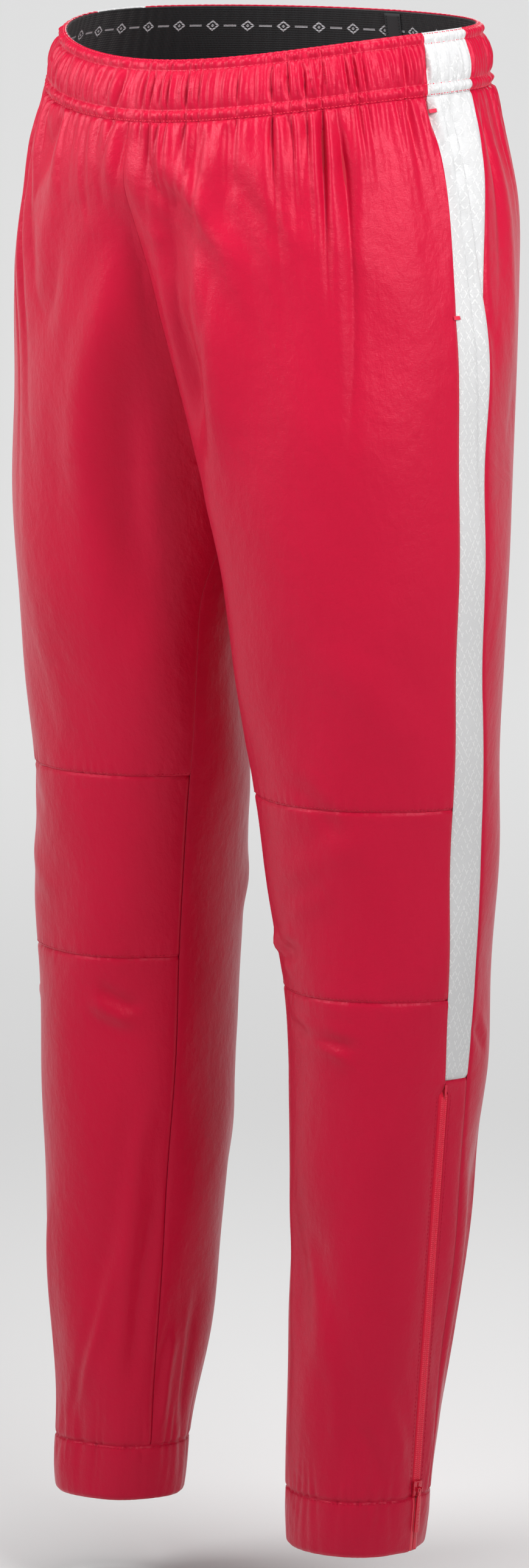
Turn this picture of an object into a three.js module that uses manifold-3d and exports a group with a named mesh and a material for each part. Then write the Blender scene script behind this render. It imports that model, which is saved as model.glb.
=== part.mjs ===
// Warm-up trousers in their worn shape: a gathered elastic waistband, two legs cut from panels with
// a contrast stripe down each side, shaped knees, side pockets and an ankle zip over an open cuff.
// Millimetres, +Z up, the wearer faces -Y and the wearer's left is +X.
// Heights in the code are measured up from the hem; the last group moves the whole garment down so
// that its origin is the centre of the waist opening.
import * as THREE from "three";
import { mergeVertices } from "three/addons/utils/BufferGeometryUtils.js";
import Module from "manifold-3d";

const wasm = await Module();
wasm.setup();

// ---- Driving dimensions: lengths that stack up from the hem ----
const CUFF_HEIGHT = 40; // hem to the cuff seam
const ZIP_LENGTH = 284; // cuff seam to the top end of the ankle zip
const STRIPE_GAP = 10; // top end of the zip to the lower end of the side stripe
const SHIN_LENGTH = 57; // lower end of the stripe to the lower knee seam
const KNEE_LENGTH = 132; // lower to upper knee seam
const THIGH_LENGTH = 222; // upper knee seam to the crotch point
const RISE = 265; // crotch point to the waist seam, at the sides and back
const BAND_HEIGHT = 42; // height of the waistband
const FRONT_DIP = 22; // how much lower the waist sits at the centre front
const CROTCH_CURVE = 85; // height over which the seat seam curves under to the crotch point

// ---- Driving dimensions: girth, as half widths and half depths of the worn tube ----
const HEM_HALF_WIDTH = 48;
const HEM_HALF_DEPTH = 45;
const CALF_HALF_WIDTH = 68;
const CALF_HALF_DEPTH = 70;
const KNEE_HALF_WIDTH = 86;
const KNEE_HALF_DEPTH = 76;
const THIGH_HALF_WIDTH = 111;
const THIGH_HALF_DEPTH = 100;
const SEAT_HALF_WIDTH = 160;
const SEAT_HALF_DEPTH = 131;
const WAIST_HALF_WIDTH = 163;
const WAIST_HALF_DEPTH = 124;
const STANCE = 118; // centre line to the middle of each hem
const THIGH_PRESS = 12.6; // how far each thigh's round is flattened against the other at the crotch
const TOE_OUT = 21; // degrees that each leg is turned outwards

// ---- Cloth and seams ----
const CLOTH = 1.6; // body of a sewn panel
const BAND_CLOTH = 2.4; // folded waistband cloth
const CUFF_CLOTH = 3; // folded hem
const ELASTIC = 1.6; // waist elastic
const SEAM_GAP = 0.4; // between two panels at a seam
const LAYER_GAP = 0.35; // between two layers that lie on each other

// ---- Side stripe, pocket and zip ----
const POCKET_DROP = 10; // waist seam to the top of the pocket opening
const POCKET_MOUTH = 140; // length of the pocket opening
const POCKET_DEPTH = 75; // how far the bag hangs below the opening
const POCKET_REACH = 52; // degrees that the bag runs forward round the hip
const POCKET_ROOM = 12; // clear width inside the bag
const BAG_CLOTH = 1.2;
const BAG_GAP = 0.95; // between the bag and the cloth outside it
const BARTACK_LENGTH = 11;
const BARTACK_HEIGHT = 2.2;
const BARTACK_THICKNESS = 0.9;
const ZIP_MOUTH = 10; // width between the panel edges either side of the zip
const TAPE_WIDTH = 6;
const TAPE_CLEARANCE = 0.3; // between the flat tapes and the panels where these curve in furthest
const TAPE_THICKNESS = 0.8;
const COIL_WIDTH = 2.2;
const COIL_THICKNESS = 1.6;
const COIL_GAP = 1.6; // slot between the two coils, where the slider's post runs
const RUN_GAP = 0.35; // running clearance round the slider
const SLIDER_LENGTH = 11;
const SLIDER_WIDTH = 8;
const SLIDER_PLATE = 1.1;
const STOP_HEIGHT = 2.2;
const PIN_RADIUS = 0.6;
const PULL_LENGTH = 31;
const PULL_WIDTH = 4.6;
const PULL_THICKNESS = 1.5;

// ---- Heights above the hem that follow from them ----
const ZIP_TOP = CUFF_HEIGHT + ZIP_LENGTH;
const STRIPE_END = ZIP_TOP + STRIPE_GAP;
const KNEE_LOW = STRIPE_END + SHIN_LENGTH;
const KNEE_HIGH = KNEE_LOW + KNEE_LENGTH;
const CROTCH_HEIGHT = KNEE_HIGH + THIGH_LENGTH;
const WAIST_SEAM = CROTCH_HEIGHT + RISE;
const WAIST_TOP = WAIST_SEAM + BAND_HEIGHT;
const POCKET_TOP = WAIST_SEAM - POCKET_DROP;
const MID_THIGH = CROTCH_HEIGHT - THIGH_LENGTH * 0.47;
const [HIP_LOW, HIP_MIDDLE, SEAT, HIP_HIGH] = [0.28, 0.5, 0.7, 0.87].map((u) => CROTCH_HEIGHT + RISE * u);
const DEG = Math.PI / 180;

// ---- Stations: the horizontal section of one leg at each landmark ----
// Each is an ellipse with its centre (x, y), half width and half depth, turned out by toe degrees.
// Above the crotch the two legs' ellipses run into each other and make the hips.
const station = (height, x, y, halfWidth, halfDepth, toe) => ({ height, x, y, halfWidth, halfDepth, toe });
const turnedWidth = THIGH_HALF_WIDTH * Math.cos(TOE_OUT * DEG);
const turnedDepth = THIGH_HALF_DEPTH * Math.sin(TOE_OUT * DEG);
const thighReach = Math.hypot(turnedWidth, turnedDepth);
const CROTCH_X = thighReach - THIGH_PRESS;
const STATIONS = [
  station(0, STANCE, -7, HEM_HALF_WIDTH, HEM_HALF_DEPTH, TOE_OUT),
  station(STRIPE_END, STANCE + 6, 18, CALF_HALF_WIDTH, CALF_HALF_DEPTH, TOE_OUT),
  station(KNEE_LOW + 10, STANCE + 5, 19, CALF_HALF_WIDTH + 5, CALF_HALF_DEPTH + 2, TOE_OUT),
  station(KNEE_HIGH, STANCE - 2, 15, KNEE_HALF_WIDTH, KNEE_HALF_DEPTH, TOE_OUT),
  station(MID_THIGH, STANCE - 9, 11, KNEE_HALF_WIDTH + 12, KNEE_HALF_DEPTH + 12, TOE_OUT),
  station(CROTCH_HEIGHT, CROTCH_X, 11, THIGH_HALF_WIDTH, THIGH_HALF_DEPTH, TOE_OUT),
  station(HIP_LOW, CROTCH_X * 0.825, 14, THIGH_HALF_WIDTH + 15, THIGH_HALF_DEPTH + 11, TOE_OUT * 0.76),
  station(HIP_MIDDLE, CROTCH_X * 0.6, 18, SEAT_HALF_WIDTH - 17, SEAT_HALF_DEPTH - 9, TOE_OUT * 0.48),
  station(SEAT, CROTCH_X * 0.35, 22, SEAT_HALF_WIDTH, SEAT_HALF_DEPTH, TOE_OUT * 0.24),
  station(HIP_HIGH, CROTCH_X * 0.1, 23, SEAT_HALF_WIDTH + 13, SEAT_HALF_DEPTH + 6, TOE_OUT * 0.05),
  station(WAIST_SEAM, 0, 24, WAIST_HALF_WIDTH + 10, WAIST_HALF_DEPTH + 9, 0),
  station(WAIST_TOP, 0, 27, WAIST_HALF_WIDTH, WAIST_HALF_DEPTH, 0),
];

// A smooth curve through a list of [height, value] pairs, straight in its first stretch.
function smooth(pairs, height) {
  const last = pairs.length - 1;
  let i = 0;
  while (i < last - 1 && height > pairs[i + 1][0]) i += 1;
  const [h0, v0] = pairs[i];
  const [h1, v1] = pairs[i + 1];
  const chord = (v1 - v0) / (h1 - h0);
  const before = i > 0 ? (v0 - pairs[i - 1][1]) / (h0 - pairs[i - 1][0]) : chord;
  const after = i < last - 1 ? (pairs[i + 2][1] - v1) / (pairs[i + 2][0] - h1) : chord;
  const slope0 = (before + chord) / 2;
  const slope1 = (after + chord) / 2;
  const u = (height - h0) / (h1 - h0);
  if (i === 0 || u > 1) return v0 + (v1 - v0) * u;
  const w = h1 - h0;
  return (
    v0 * (1 + 2 * u) * (1 - u) ** 2 +
    slope0 * w * u * (1 - u) ** 2 +
    v1 * u * u * (3 - 2 * u) +
    slope1 * w * u * u * (u - 1)
  );
}

const track = (key) => STATIONS.map((s) => [s.height, s[key]]);
const KEYS = ["x", "y", "halfWidth", "halfDepth", "toe"];
const TRACKS = Object.fromEntries(KEYS.map((key) => [key, track(key)]));

function section(height) {
  const at = (key) => smooth(TRACKS[key], height);
  return { x: at("x"), y: at("y"), a: at("halfWidth"), b: at("halfDepth"), toe: at("toe") * DEG };
}

const ramp = (value, low, high) => THREE.MathUtils.smoothstep(value, low, high);

// The waist seam, the band and the cloth just below them sit lower at the centre front.
function dip(height, angle) {
  const forward = ((1 + Math.sin(angle * DEG)) / 2) ** 4;
  return FRONT_DIP * forward * ramp(height, HIP_MIDDLE, WAIST_SEAM - POCKET_DROP);
}

// A point on the left leg's cloth. The angle is 0 at the outer side, 90 at the front, 180 at the
// inner side and 270 at the back; inset is the distance in from the garment's outer face.
function onLeg(height, angle, inset) {
  const { x, y, a, b, toe } = section(height);
  const along = (a - inset) * Math.cos(angle * DEG);
  const across = -(b - inset) * Math.sin(angle * DEG);
  const worldX = x + along * Math.cos(toe) - across * Math.sin(toe);
  const worldY = y + along * Math.sin(toe) + across * Math.cos(toe);
  return new THREE.Vector3(Math.max(worldX, SEAM_GAP / 2 + inset), worldY, height - dip(height, angle));
}

// A point on the waistband, one oval that runs right round the body.
function onBand(height, angle, inset) {
  const { y, a, b } = section(height);
  const across = -(b - inset) * Math.sin(angle * DEG);
  return new THREE.Vector3((a - inset) * Math.cos(angle * DEG), y + across, height - dip(height, angle));
}

// The angle that covers a given distance along the section at this place.
function degreesFor(distance, height, angle) {
  const { a, b } = section(height);
  return distance / Math.hypot(a * Math.sin(angle * DEG), b * Math.cos(angle * DEG)) / DEG;
}

// ---- Seam lines, as angles by height ----
const STRIPE_FRONT = [
  [STRIPE_END, 31],
  [KNEE_LOW, 31.5],
  [KNEE_HIGH, 30],
  [MID_THIGH, 27.5],
  [CROTCH_HEIGHT, 26.5],
  [HIP_LOW, 22.5],
  [HIP_MIDDLE, 17.5],
  [SEAT, 13],
  [HIP_HIGH, 8],
  [WAIST_SEAM, 7],
  [WAIST_TOP, 6.5],
];
const STRIPE_BACK = [
  [STRIPE_END, 11],
  [KNEE_LOW, 8.5],
  [KNEE_HIGH, 9],
  [MID_THIGH, 10.6],
  [CROTCH_HEIGHT, 12],
  [HIP_LOW, 8.4],
  [HIP_MIDDLE, 3.4],
  [SEAT, -2.3],
  [HIP_HIGH, -9.4],
  [WAIST_SEAM, -12.5],
  [WAIST_TOP, -14],
];
const ZIP_ANGLE_TOP = 28.5;
const ZIP_ANGLE_BOTTOM = 13;
const LOWER_SEAM_BOTTOM = -10; // the back seam's angle at the hem

const stripeFront = (height) => smooth(STRIPE_FRONT, height);
function backSeam(height) {
  if (height >= STRIPE_END) return smooth(STRIPE_BACK, height);
  return THREE.MathUtils.lerp(LOWER_SEAM_BOTTOM, STRIPE_BACK[0][1], height / STRIPE_END);
}

// The angles where the ellipse meets the middle plane of the garment, front and back.
function middleAngles(height) {
  const { x, a, b, toe } = section(height);
  const reach = Math.hypot(a * Math.cos(toe), b * Math.sin(toe));
  const turn = Math.atan2(b * Math.sin(toe), a * Math.cos(toe)) / DEG;
  const half = Math.acos(Math.max(-1, (SEAM_GAP / 2 - x) / reach)) / DEG;
  return { front: turn + half, back: turn - half + 360, inner: turn + 180 };
}

const INSEAM_LOW = 180;

function inseam(height) {
  const swing = ramp(height, MID_THIGH, CROTCH_HEIGHT);
  return THREE.MathUtils.lerp(INSEAM_LOW, middleAngles(CROTCH_HEIGHT).inner, swing);
}

// The inner edge of the front or back cloth: the inseam up to the crotch, then the seat seam.
function innerEdge(height, face) {
  if (height <= CROTCH_HEIGHT) return inseam(height);
  const u = Math.min(1, (height - CROTCH_HEIGHT) / CROTCH_CURVE);
  const spread = Math.sqrt(1 - (1 - u) ** 2);
  return THREE.MathUtils.lerp(inseam(CROTCH_HEIGHT), middleAngles(height)[face], spread);
}

// ---- The zip's straight line and its own frame ----
const zipFoot = onLeg(CUFF_HEIGHT, ZIP_ANGLE_BOTTOM, CLOTH / 2);
const zipHead = onLeg(ZIP_TOP, ZIP_ANGLE_TOP, CLOTH / 2);
const zipAlong = zipHead.clone().sub(zipFoot).normalize();
const middleZip = onLeg((CUFF_HEIGHT + ZIP_TOP) / 2, (ZIP_ANGLE_BOTTOM + ZIP_ANGLE_TOP) / 2, CLOTH / 2);
const { x: MIDDLE_X, y: MIDDLE_Y } = section((CUFF_HEIGHT + ZIP_TOP) / 2);
const outward = new THREE.Vector3(middleZip.x - MIDDLE_X, middleZip.y - MIDDLE_Y, 0);
const zipForward = new THREE.Vector3().crossVectors(outward, zipAlong).normalize(); // towards the front edge
const zipOut = new THREE.Vector3().crossVectors(zipAlong, zipForward).normalize();

// The angle at this height whose point lies the given distance forward of the zip's line.
function besideZip(height, forward) {
  const fraction = (height - zipFoot.z) / (zipHead.z - zipFoot.z);
  const centre = zipFoot.clone().lerp(zipHead, fraction);
  let low = -60;
  let high = 90;
  for (let step = 0; step < 40; step += 1) {
    const middle = (low + high) / 2;
    const offset = onLeg(height, middle, CLOTH / 2).sub(centre).dot(zipForward);
    if (offset < forward) low = middle;
    else high = middle;
  }
  return (low + high) / 2;
}

// ---- Solids ----
function even(low, high, count) {
  return Array.from({ length: count + 1 }, (_, i) => low + ((high - low) * i) / count);
}

// A closed solid between two layers of points. outer(i, j) and inner(i, j) give the layers; rows run
// up, columns run from the outer side round by the front. A closed ring joins its last column to its first.
function layered(rows, columns, outer, inner, ring = false) {
  const positions = [];
  const wide = ring ? columns : columns + 1;
  for (const layer of [outer, inner]) {
    for (let i = 0; i <= rows; i += 1) {
      for (let j = 0; j < wide; j += 1) positions.push(...layer(i, j).toArray());
    }
  }
  const size = (rows + 1) * wide;
  const vertex = (layer, i, j) => layer * size + i * wide + (j % wide);
  const index = [];
  const quad = (p, q, r, s) => index.push(p, q, r, p, r, s);
  for (let i = 0; i < rows; i += 1) {
    for (let j = 0; j < columns; j += 1) {
      quad(vertex(0, i, j), vertex(0, i + 1, j), vertex(0, i + 1, j + 1), vertex(0, i, j + 1));
      quad(vertex(1, i, j), vertex(1, i, j + 1), vertex(1, i + 1, j + 1), vertex(1, i + 1, j));
    }
  }
  for (let j = 0; j < columns; j += 1) {
    quad(vertex(0, 0, j), vertex(0, 0, j + 1), vertex(1, 0, j + 1), vertex(1, 0, j));
    quad(vertex(0, rows, j), vertex(1, rows, j), vertex(1, rows, j + 1), vertex(0, rows, j + 1));
  }
  if (!ring) {
    for (let i = 0; i < rows; i += 1) {
      const end = columns;
      quad(vertex(0, i, 0), vertex(1, i, 0), vertex(1, i + 1, 0), vertex(0, i + 1, 0));
      quad(vertex(0, i, end), vertex(0, i + 1, end), vertex(1, i + 1, end), vertex(1, i, end));
    }
  }
  const geometry = new THREE.BufferGeometry();
  geometry.setAttribute("position", new THREE.Float32BufferAttribute(positions, 3));
  geometry.setIndex(index);
  geometry.computeVertexNormals();
  return geometry;
}

// A cloth panel from one edge angle to another, over a list of heights.
function panel({ heights, from, to, columns, inset = 0, thickness = CLOTH, place = onLeg }) {
  const gap = (height, angle) => degreesFor(SEAM_GAP / 2, height, angle);
  const edges = heights.map((height) => {
    const start = from(height);
    const end = to(height);
    return [start + gap(height, start), end - gap(height, end)];
  });
  const point = (depth) => (i, j) => {
    const [start, end] = edges[i];
    return place(heights[i], THREE.MathUtils.lerp(start, end, j / columns), inset + depth);
  };
  return layered(heights.length - 1, columns, point(0), point(thickness));
}

function solidOf(geometry) {
  const bare = geometry.clone();
  bare.deleteAttribute("normal");
  bare.deleteAttribute("uv");
  const merged = mergeVertices(bare);
  const vertProperties = merged.attributes.position.array;
  const triVerts = new Uint32Array(merged.index.array);
  return new wasm.Manifold(new wasm.Mesh({ numProp: 3, vertProperties, triVerts }));
}

function geometryOf(solid) {
  const { vertProperties, triVerts } = solid.getMesh();
  const geometry = new THREE.BufferGeometry();
  geometry.setAttribute("position", new THREE.Float32BufferAttribute(vertProperties, 3));
  geometry.setIndex([...triVerts]);
  return geometry;
}

// A block from one corner to the opposite one.
function block([x0, y0, z0], [x1, y1, z1]) {
  const geometry = new THREE.BoxGeometry(x1 - x0, y1 - y0, z1 - z0);
  return geometry.translate((x0 + x1) / 2, (y0 + y1) / 2, (z0 + z1) / 2);
}

// ---- Materials ----
const cloth = (color, roughness) => new THREE.MeshStandardMaterial({ color, roughness, metalness: 0 });
const RED = cloth("#cf1f42", 0.5);
const RED_TAPE = cloth("#d81c44", 0.6);
const WHITE = cloth("#e6e6e8", 0.6);
const BLACK = cloth("#17171a", 0.8);
const GLOSSY_RED = cloth("#d3183f", 0.25);
const LINING = cloth("#b51c3a", 0.8);

const garment = new THREE.Group();
garment.position.z = -WAIST_TOP;

function add(parent, name, geometry, material) {
  const mesh = new THREE.Mesh(geometry, material);
  mesh.name = name;
  parent.add(mesh);
  return mesh;
}

// ---- Waistband ----
const BAND_COLUMNS = 24;
const INSERT_COLUMNS = 4;
const bandHeights = even(WAIST_SEAM + SEAM_GAP / 2, WAIST_TOP, 3);
const bandPiece = (from, to, columns) =>
  panel({ heights: bandHeights, from, to, columns, thickness: BAND_CLOTH, place: onBand });
const stripeBack = (height) => smooth(STRIPE_BACK, height);

add(garment, "waistband_front", bandPiece(stripeFront, (h) => 180 - stripeFront(h), BAND_COLUMNS), RED);
add(
  garment,
  "waistband_back",
  bandPiece((h) => 180 - stripeBack(h), (h) => 360 + stripeBack(h), BAND_COLUMNS),
  RED,
);
add(garment, "waistband_insert_left", bandPiece(stripeBack, stripeFront, INSERT_COLUMNS), WHITE);
add(
  garment,
  "waistband_insert_right",
  bandPiece((h) => 180 - stripeFront(h), (h) => 180 - stripeBack(h), INSERT_COLUMNS),
  WHITE,
);

const ELASTIC_INSET = BAND_CLOTH + LAYER_GAP;
const ELASTIC_MARGIN = 1.5; // the elastic stops this far short of the band's edges
const ELASTIC_HEIGHT = BAND_HEIGHT - 2 * ELASTIC_MARGIN;

// The elastic's facets lie behind the facets of the band's four pieces.
function ringAngles(height) {
  const corners = [
    [stripeBack(height), INSERT_COLUMNS],
    [stripeFront(height), BAND_COLUMNS],
    [180 - stripeFront(height), INSERT_COLUMNS],
    [180 - stripeBack(height), BAND_COLUMNS],
    [360 + stripeBack(height), 0],
  ];
  const stretch = ([angle, count], k) => even(angle, corners[k + 1][0], count).slice(0, -1);
  return corners.slice(0, -1).flatMap(stretch);
}

function behindBand(height, column, inset) {
  const above = bandHeights.findIndex((row) => row >= height);
  const rows = [bandHeights[above - 1], bandHeights[above]];
  const [low, high] = rows.map((row) => onBand(row, ringAngles(row)[column], inset));
  return low.lerp(high, (height - rows[0]) / (rows[1] - rows[0]));
}

function elasticRing() {
  const foot = WAIST_SEAM + ELASTIC_MARGIN;
  const heights = [foot, ...bandHeights.slice(1, -1), foot + ELASTIC_HEIGHT];
  const columns = ringAngles(foot).length;
  const point = (inset) => (i, j) => behindBand(heights[i], j, inset);
  return layered(heights.length - 1, columns, point(ELASTIC_INSET), point(ELASTIC_INSET + ELASTIC), true);
}
add(garment, "waist_elastic", elasticRing(), BLACK);

const JOIN_WIDTH = 14; // of the patch that covers the elastic's join at the centre back
function joinCover() {
  const half = degreesFor(JOIN_WIDTH / 2, WAIST_SEAM, 270);
  return panel({
    heights: even(WAIST_SEAM + 2 * ELASTIC_MARGIN, WAIST_TOP - 2 * ELASTIC_MARGIN, 1),
    from: () => 270 - half,
    to: () => 270 + half,
    columns: 3,
    inset: ELASTIC_INSET + ELASTIC + LAYER_GAP,
    thickness: BAG_CLOTH,
    place: onBand,
  });
}
add(garment, "elastic_join_cover", joinCover(), BLACK);

// ---- One leg ----
// All panels share one ladder of heights, so that neighbours' edges run side by side.
const LADDER = [
  ...even(0, CUFF_HEIGHT, 2),
  ...even(CUFF_HEIGHT, STRIPE_END, 7),
  ...even(STRIPE_END, KNEE_LOW, 2),
  ...even(KNEE_LOW, KNEE_HIGH, 3),
  ...even(KNEE_HIGH, CROTCH_HEIGHT, 7),
  ...[0.01, 0.05, 0.13, 0.27, 0.5, 0.75, 1].map((u) => CROTCH_HEIGHT + u * CROTCH_CURVE),
  ...even(CROTCH_HEIGHT + CROTCH_CURVE, WAIST_SEAM - POCKET_DROP, 6),
];
function between(low, high, gap = SEAM_GAP / 2) {
  const inside = [...new Set(LADDER)].filter((height) => height > low + 1 && height < high - 1);
  return [low + gap, ...inside, high - gap];
}
const zipEdge = ZIP_MOUTH / 2;

function shinFrontEdge(height) {
  const beside = besideZip(height, zipEdge);
  return THREE.MathUtils.lerp(beside, stripeFront(KNEE_LOW), ramp(height, ZIP_TOP, KNEE_LOW));
}

function frontEdge(height) {
  return height < KNEE_LOW ? shinFrontEdge(height) : stripeFront(height);
}

function thighFront() {
  return panel({
    heights: between(KNEE_HIGH, WAIST_SEAM),
    from: stripeFront,
    to: (height) => innerEdge(height, "front"),
    columns: 12,
  });
}

function kneePanel() {
  return panel({ heights: between(KNEE_LOW, KNEE_HIGH), from: frontEdge, to: inseam, columns: 12 });
}

function shinPanel() {
  return panel({ heights: between(CUFF_HEIGHT, KNEE_LOW), from: shinFrontEdge, to: inseam, columns: 12 });
}

function backPanel() {
  return panel({
    heights: between(CUFF_HEIGHT, WAIST_SEAM),
    from: (height) => innerEdge(height, "back"),
    to: (height) => 360 + backSeam(height),
    columns: 12,
  });
}

function stripePanel() {
  const heights = between(STRIPE_END, WAIST_SEAM);
  return panel({ heights, from: backSeam, to: frontEdge, columns: 3 });
}

function lowerSidePanel() {
  return panel({
    heights: between(CUFF_HEIGHT, STRIPE_END),
    from: backSeam,
    to: (height) => besideZip(height, -zipEdge),
    columns: 3,
  });
}

function cuffBand() {
  return panel({
    heights: even(0, CUFF_HEIGHT - SEAM_GAP / 2, 2),
    from: (height) => besideZip(height, zipEdge),
    to: (height) => 360 + besideZip(height, -zipEdge),
    columns: 32,
    thickness: CUFF_CLOTH,
  });
}

// A narrow glossy strip that wraps one edge of the slit in the cuff.
const BINDING_WIDTH = 2.2;
function slitBinding(direction) {
  const near = zipEdge - SEAM_GAP / 2 - BINDING_WIDTH;
  const edges = [near, zipEdge].map((forward) => direction * forward).sort((p, q) => p - q);
  return panel({
    heights: even(1, CUFF_HEIGHT - SEAM_GAP / 2, 2),
    from: (height) => besideZip(height, edges[0]),
    to: (height) => besideZip(height, edges[1]),
    columns: 1,
    thickness: CUFF_CLOTH,
  });
}

// The bag is a flat sleeve inside the hip, open along the side seam.
function pocketBag() {
  const top = POCKET_TOP;
  const bottom = POCKET_TOP - POCKET_MOUTH - POCKET_DEPTH;
  const inset = CLOTH + BAG_GAP;
  const sleeve = (wall, mouth) =>
    solidOf(
      panel({
        heights: between(bottom, top, wall),
        from: (height) => stripeFront(height) + mouth,
        to: (height) => stripeFront(height) + POCKET_REACH - degreesFor(wall, height, POCKET_REACH),
        columns: 8,
        inset: inset + wall,
        thickness: POCKET_ROOM + 2 * BAG_CLOTH - 2 * wall,
      }),
    );
  return geometryOf(sleeve(0, 0).subtract(sleeve(BAG_CLOTH, -8)));
}

function bartack(height) {
  const half = degreesFor(BARTACK_LENGTH / 2, height, stripeFront(height));
  return panel({
    heights: even(height - BARTACK_HEIGHT / 2, height + BARTACK_HEIGHT / 2, 1),
    from: (h) => stripeFront(h) - half,
    to: (h) => stripeFront(h) + half,
    columns: 3,
    inset: -LAYER_GAP - BARTACK_THICKNESS,
    thickness: BARTACK_THICKNESS,
  });
}

// ---- Ankle zip, in its own frame: x out of the leg, y towards the back edge, z up the zip ----
// How far the inner face of the cloth beside the zip comes in towards the zip's plane.
function clothDepth(height, forward) {
  const fraction = (height - zipFoot.z) / (zipHead.z - zipFoot.z);
  const centre = zipFoot.clone().lerp(zipHead, fraction).addScaledVector(zipOut, CLOTH / 2);
  return centre.sub(onLeg(height, besideZip(height, forward), CLOTH)).dot(zipOut);
}
const TAPE_START = COIL_GAP / 2 + 0.2;
const tapeReach = TAPE_START + TAPE_WIDTH;
const deepestAt = (height) => Math.max(clothDepth(height, tapeReach), clothDepth(height, -tapeReach));
const deepest = Math.max(...even(CUFF_HEIGHT, ZIP_TOP, 6).map(deepestAt));
const TAPE_BACK = -deepest - TAPE_CLEARANCE - TAPE_THICKNESS; // the tapes lie behind the panels
const TAPE_FACE = TAPE_BACK + TAPE_THICKNESS;
const COIL_BACK = TAPE_FACE + RUN_GAP;
const COIL_FACE = COIL_BACK + COIL_THICKNESS;
const zipRun = zipHead.distanceTo(zipFoot);

function tape(direction) {
  const edges = [direction * TAPE_START, direction * (TAPE_START + TAPE_WIDTH)].sort((p, q) => p - q);
  return block([TAPE_BACK, edges[0], SEAM_GAP], [TAPE_FACE, edges[1], zipRun + STOP_HEIGHT]);
}

function coil(direction) {
  const edges = [direction * (COIL_GAP / 2), direction * (COIL_GAP / 2 + COIL_WIDTH)].sort((p, q) => p - q);
  return block([COIL_BACK, edges[0], 0], [COIL_FACE, edges[1], zipRun - RUN_GAP]);
}

function topStop() {
  const half = COIL_GAP / 2 + COIL_WIDTH;
  return block([COIL_BACK, -half, zipRun], [COIL_FACE, half, zipRun + STOP_HEIGHT]);
}

const PLATE_FACE = COIL_FACE + RUN_GAP; // inner face of the slider's outer plate
const EAR_INNER = 1.25;
const EAR_OUTER = 2.2;
const PIN_HEIGHT = PLATE_FACE + SLIDER_PLATE + 1.9; // pin axis above the zip's plane
const PIN_ALONG = SLIDER_LENGTH * 0.45;
const EYE_RADIUS = PIN_RADIUS + RUN_GAP + 0.65;

function across(radius, from, to) {
  const rod = new THREE.CylinderGeometry(radius, radius, to - from, 20);
  return rod.translate(0, (from + to) / 2, 0).translate(PIN_HEIGHT, 0, PIN_ALONG);
}

function slider() {
  const half = SLIDER_WIDTH / 2;
  const post = COIL_GAP / 2 - RUN_GAP;
  const backFace = TAPE_BACK - RUN_GAP;
  const outerPlate = block([PLATE_FACE, -half, 0], [PLATE_FACE + SLIDER_PLATE, half, SLIDER_LENGTH]);
  const innerPlate = block([backFace - SLIDER_PLATE, -half, 0], [backFace, half, SLIDER_LENGTH]);
  const web = block([backFace - 0.2, -post, SLIDER_LENGTH * 0.6], [PLATE_FACE + 0.2, post, SLIDER_LENGTH]);
  let body = solidOf(outerPlate).add(solidOf(innerPlate)).add(solidOf(web));
  for (const side of [-1, 1]) {
    const edges = [side * EAR_INNER, side * EAR_OUTER].sort((p, q) => p - q);
    const reach = PIN_RADIUS + 0.6;
    const low = PLATE_FACE + SLIDER_PLATE / 2;
    const ear = block([low, edges[0], PIN_ALONG - reach], [PIN_HEIGHT + reach, edges[1], PIN_ALONG + reach]);
    body = body.add(solidOf(ear));
  }
  return geometryOf(body.add(solidOf(across(PIN_RADIUS, -EAR_OUTER, EAR_OUTER))));
}

// The tag hangs from an eye that turns on the slider's pin and widens below the ears.
function pull() {
  const neck = EAR_INNER - RUN_GAP;
  const half = PULL_THICKNESS / 2;
  const wideFrom = PIN_ALONG - EYE_RADIUS - 2;
  const shank = block([PIN_HEIGHT - half, -neck, wideFrom - 1], [PIN_HEIGHT + half, neck, PIN_ALONG]);
  const tagLow = PIN_ALONG - PULL_LENGTH;
  const tag = block(
    [PIN_HEIGHT - half, -PULL_WIDTH / 2, tagLow],
    [PIN_HEIGHT + half, PULL_WIDTH / 2, wideFrom],
  );
  const body = solidOf(across(EYE_RADIUS, -neck, neck)).add(solidOf(shank)).add(solidOf(tag));
  return geometryOf(body.subtract(solidOf(across(PIN_RADIUS + RUN_GAP, -5, 5))));
}

function zipGroup() {
  const group = new THREE.Group();
  const basis = new THREE.Matrix4().makeBasis(zipOut, zipForward.clone().negate(), zipAlong);
  group.quaternion.setFromRotationMatrix(basis);
  group.position.copy(zipFoot).addScaledVector(zipOut, CLOTH / 2);
  return group;
}

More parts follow.
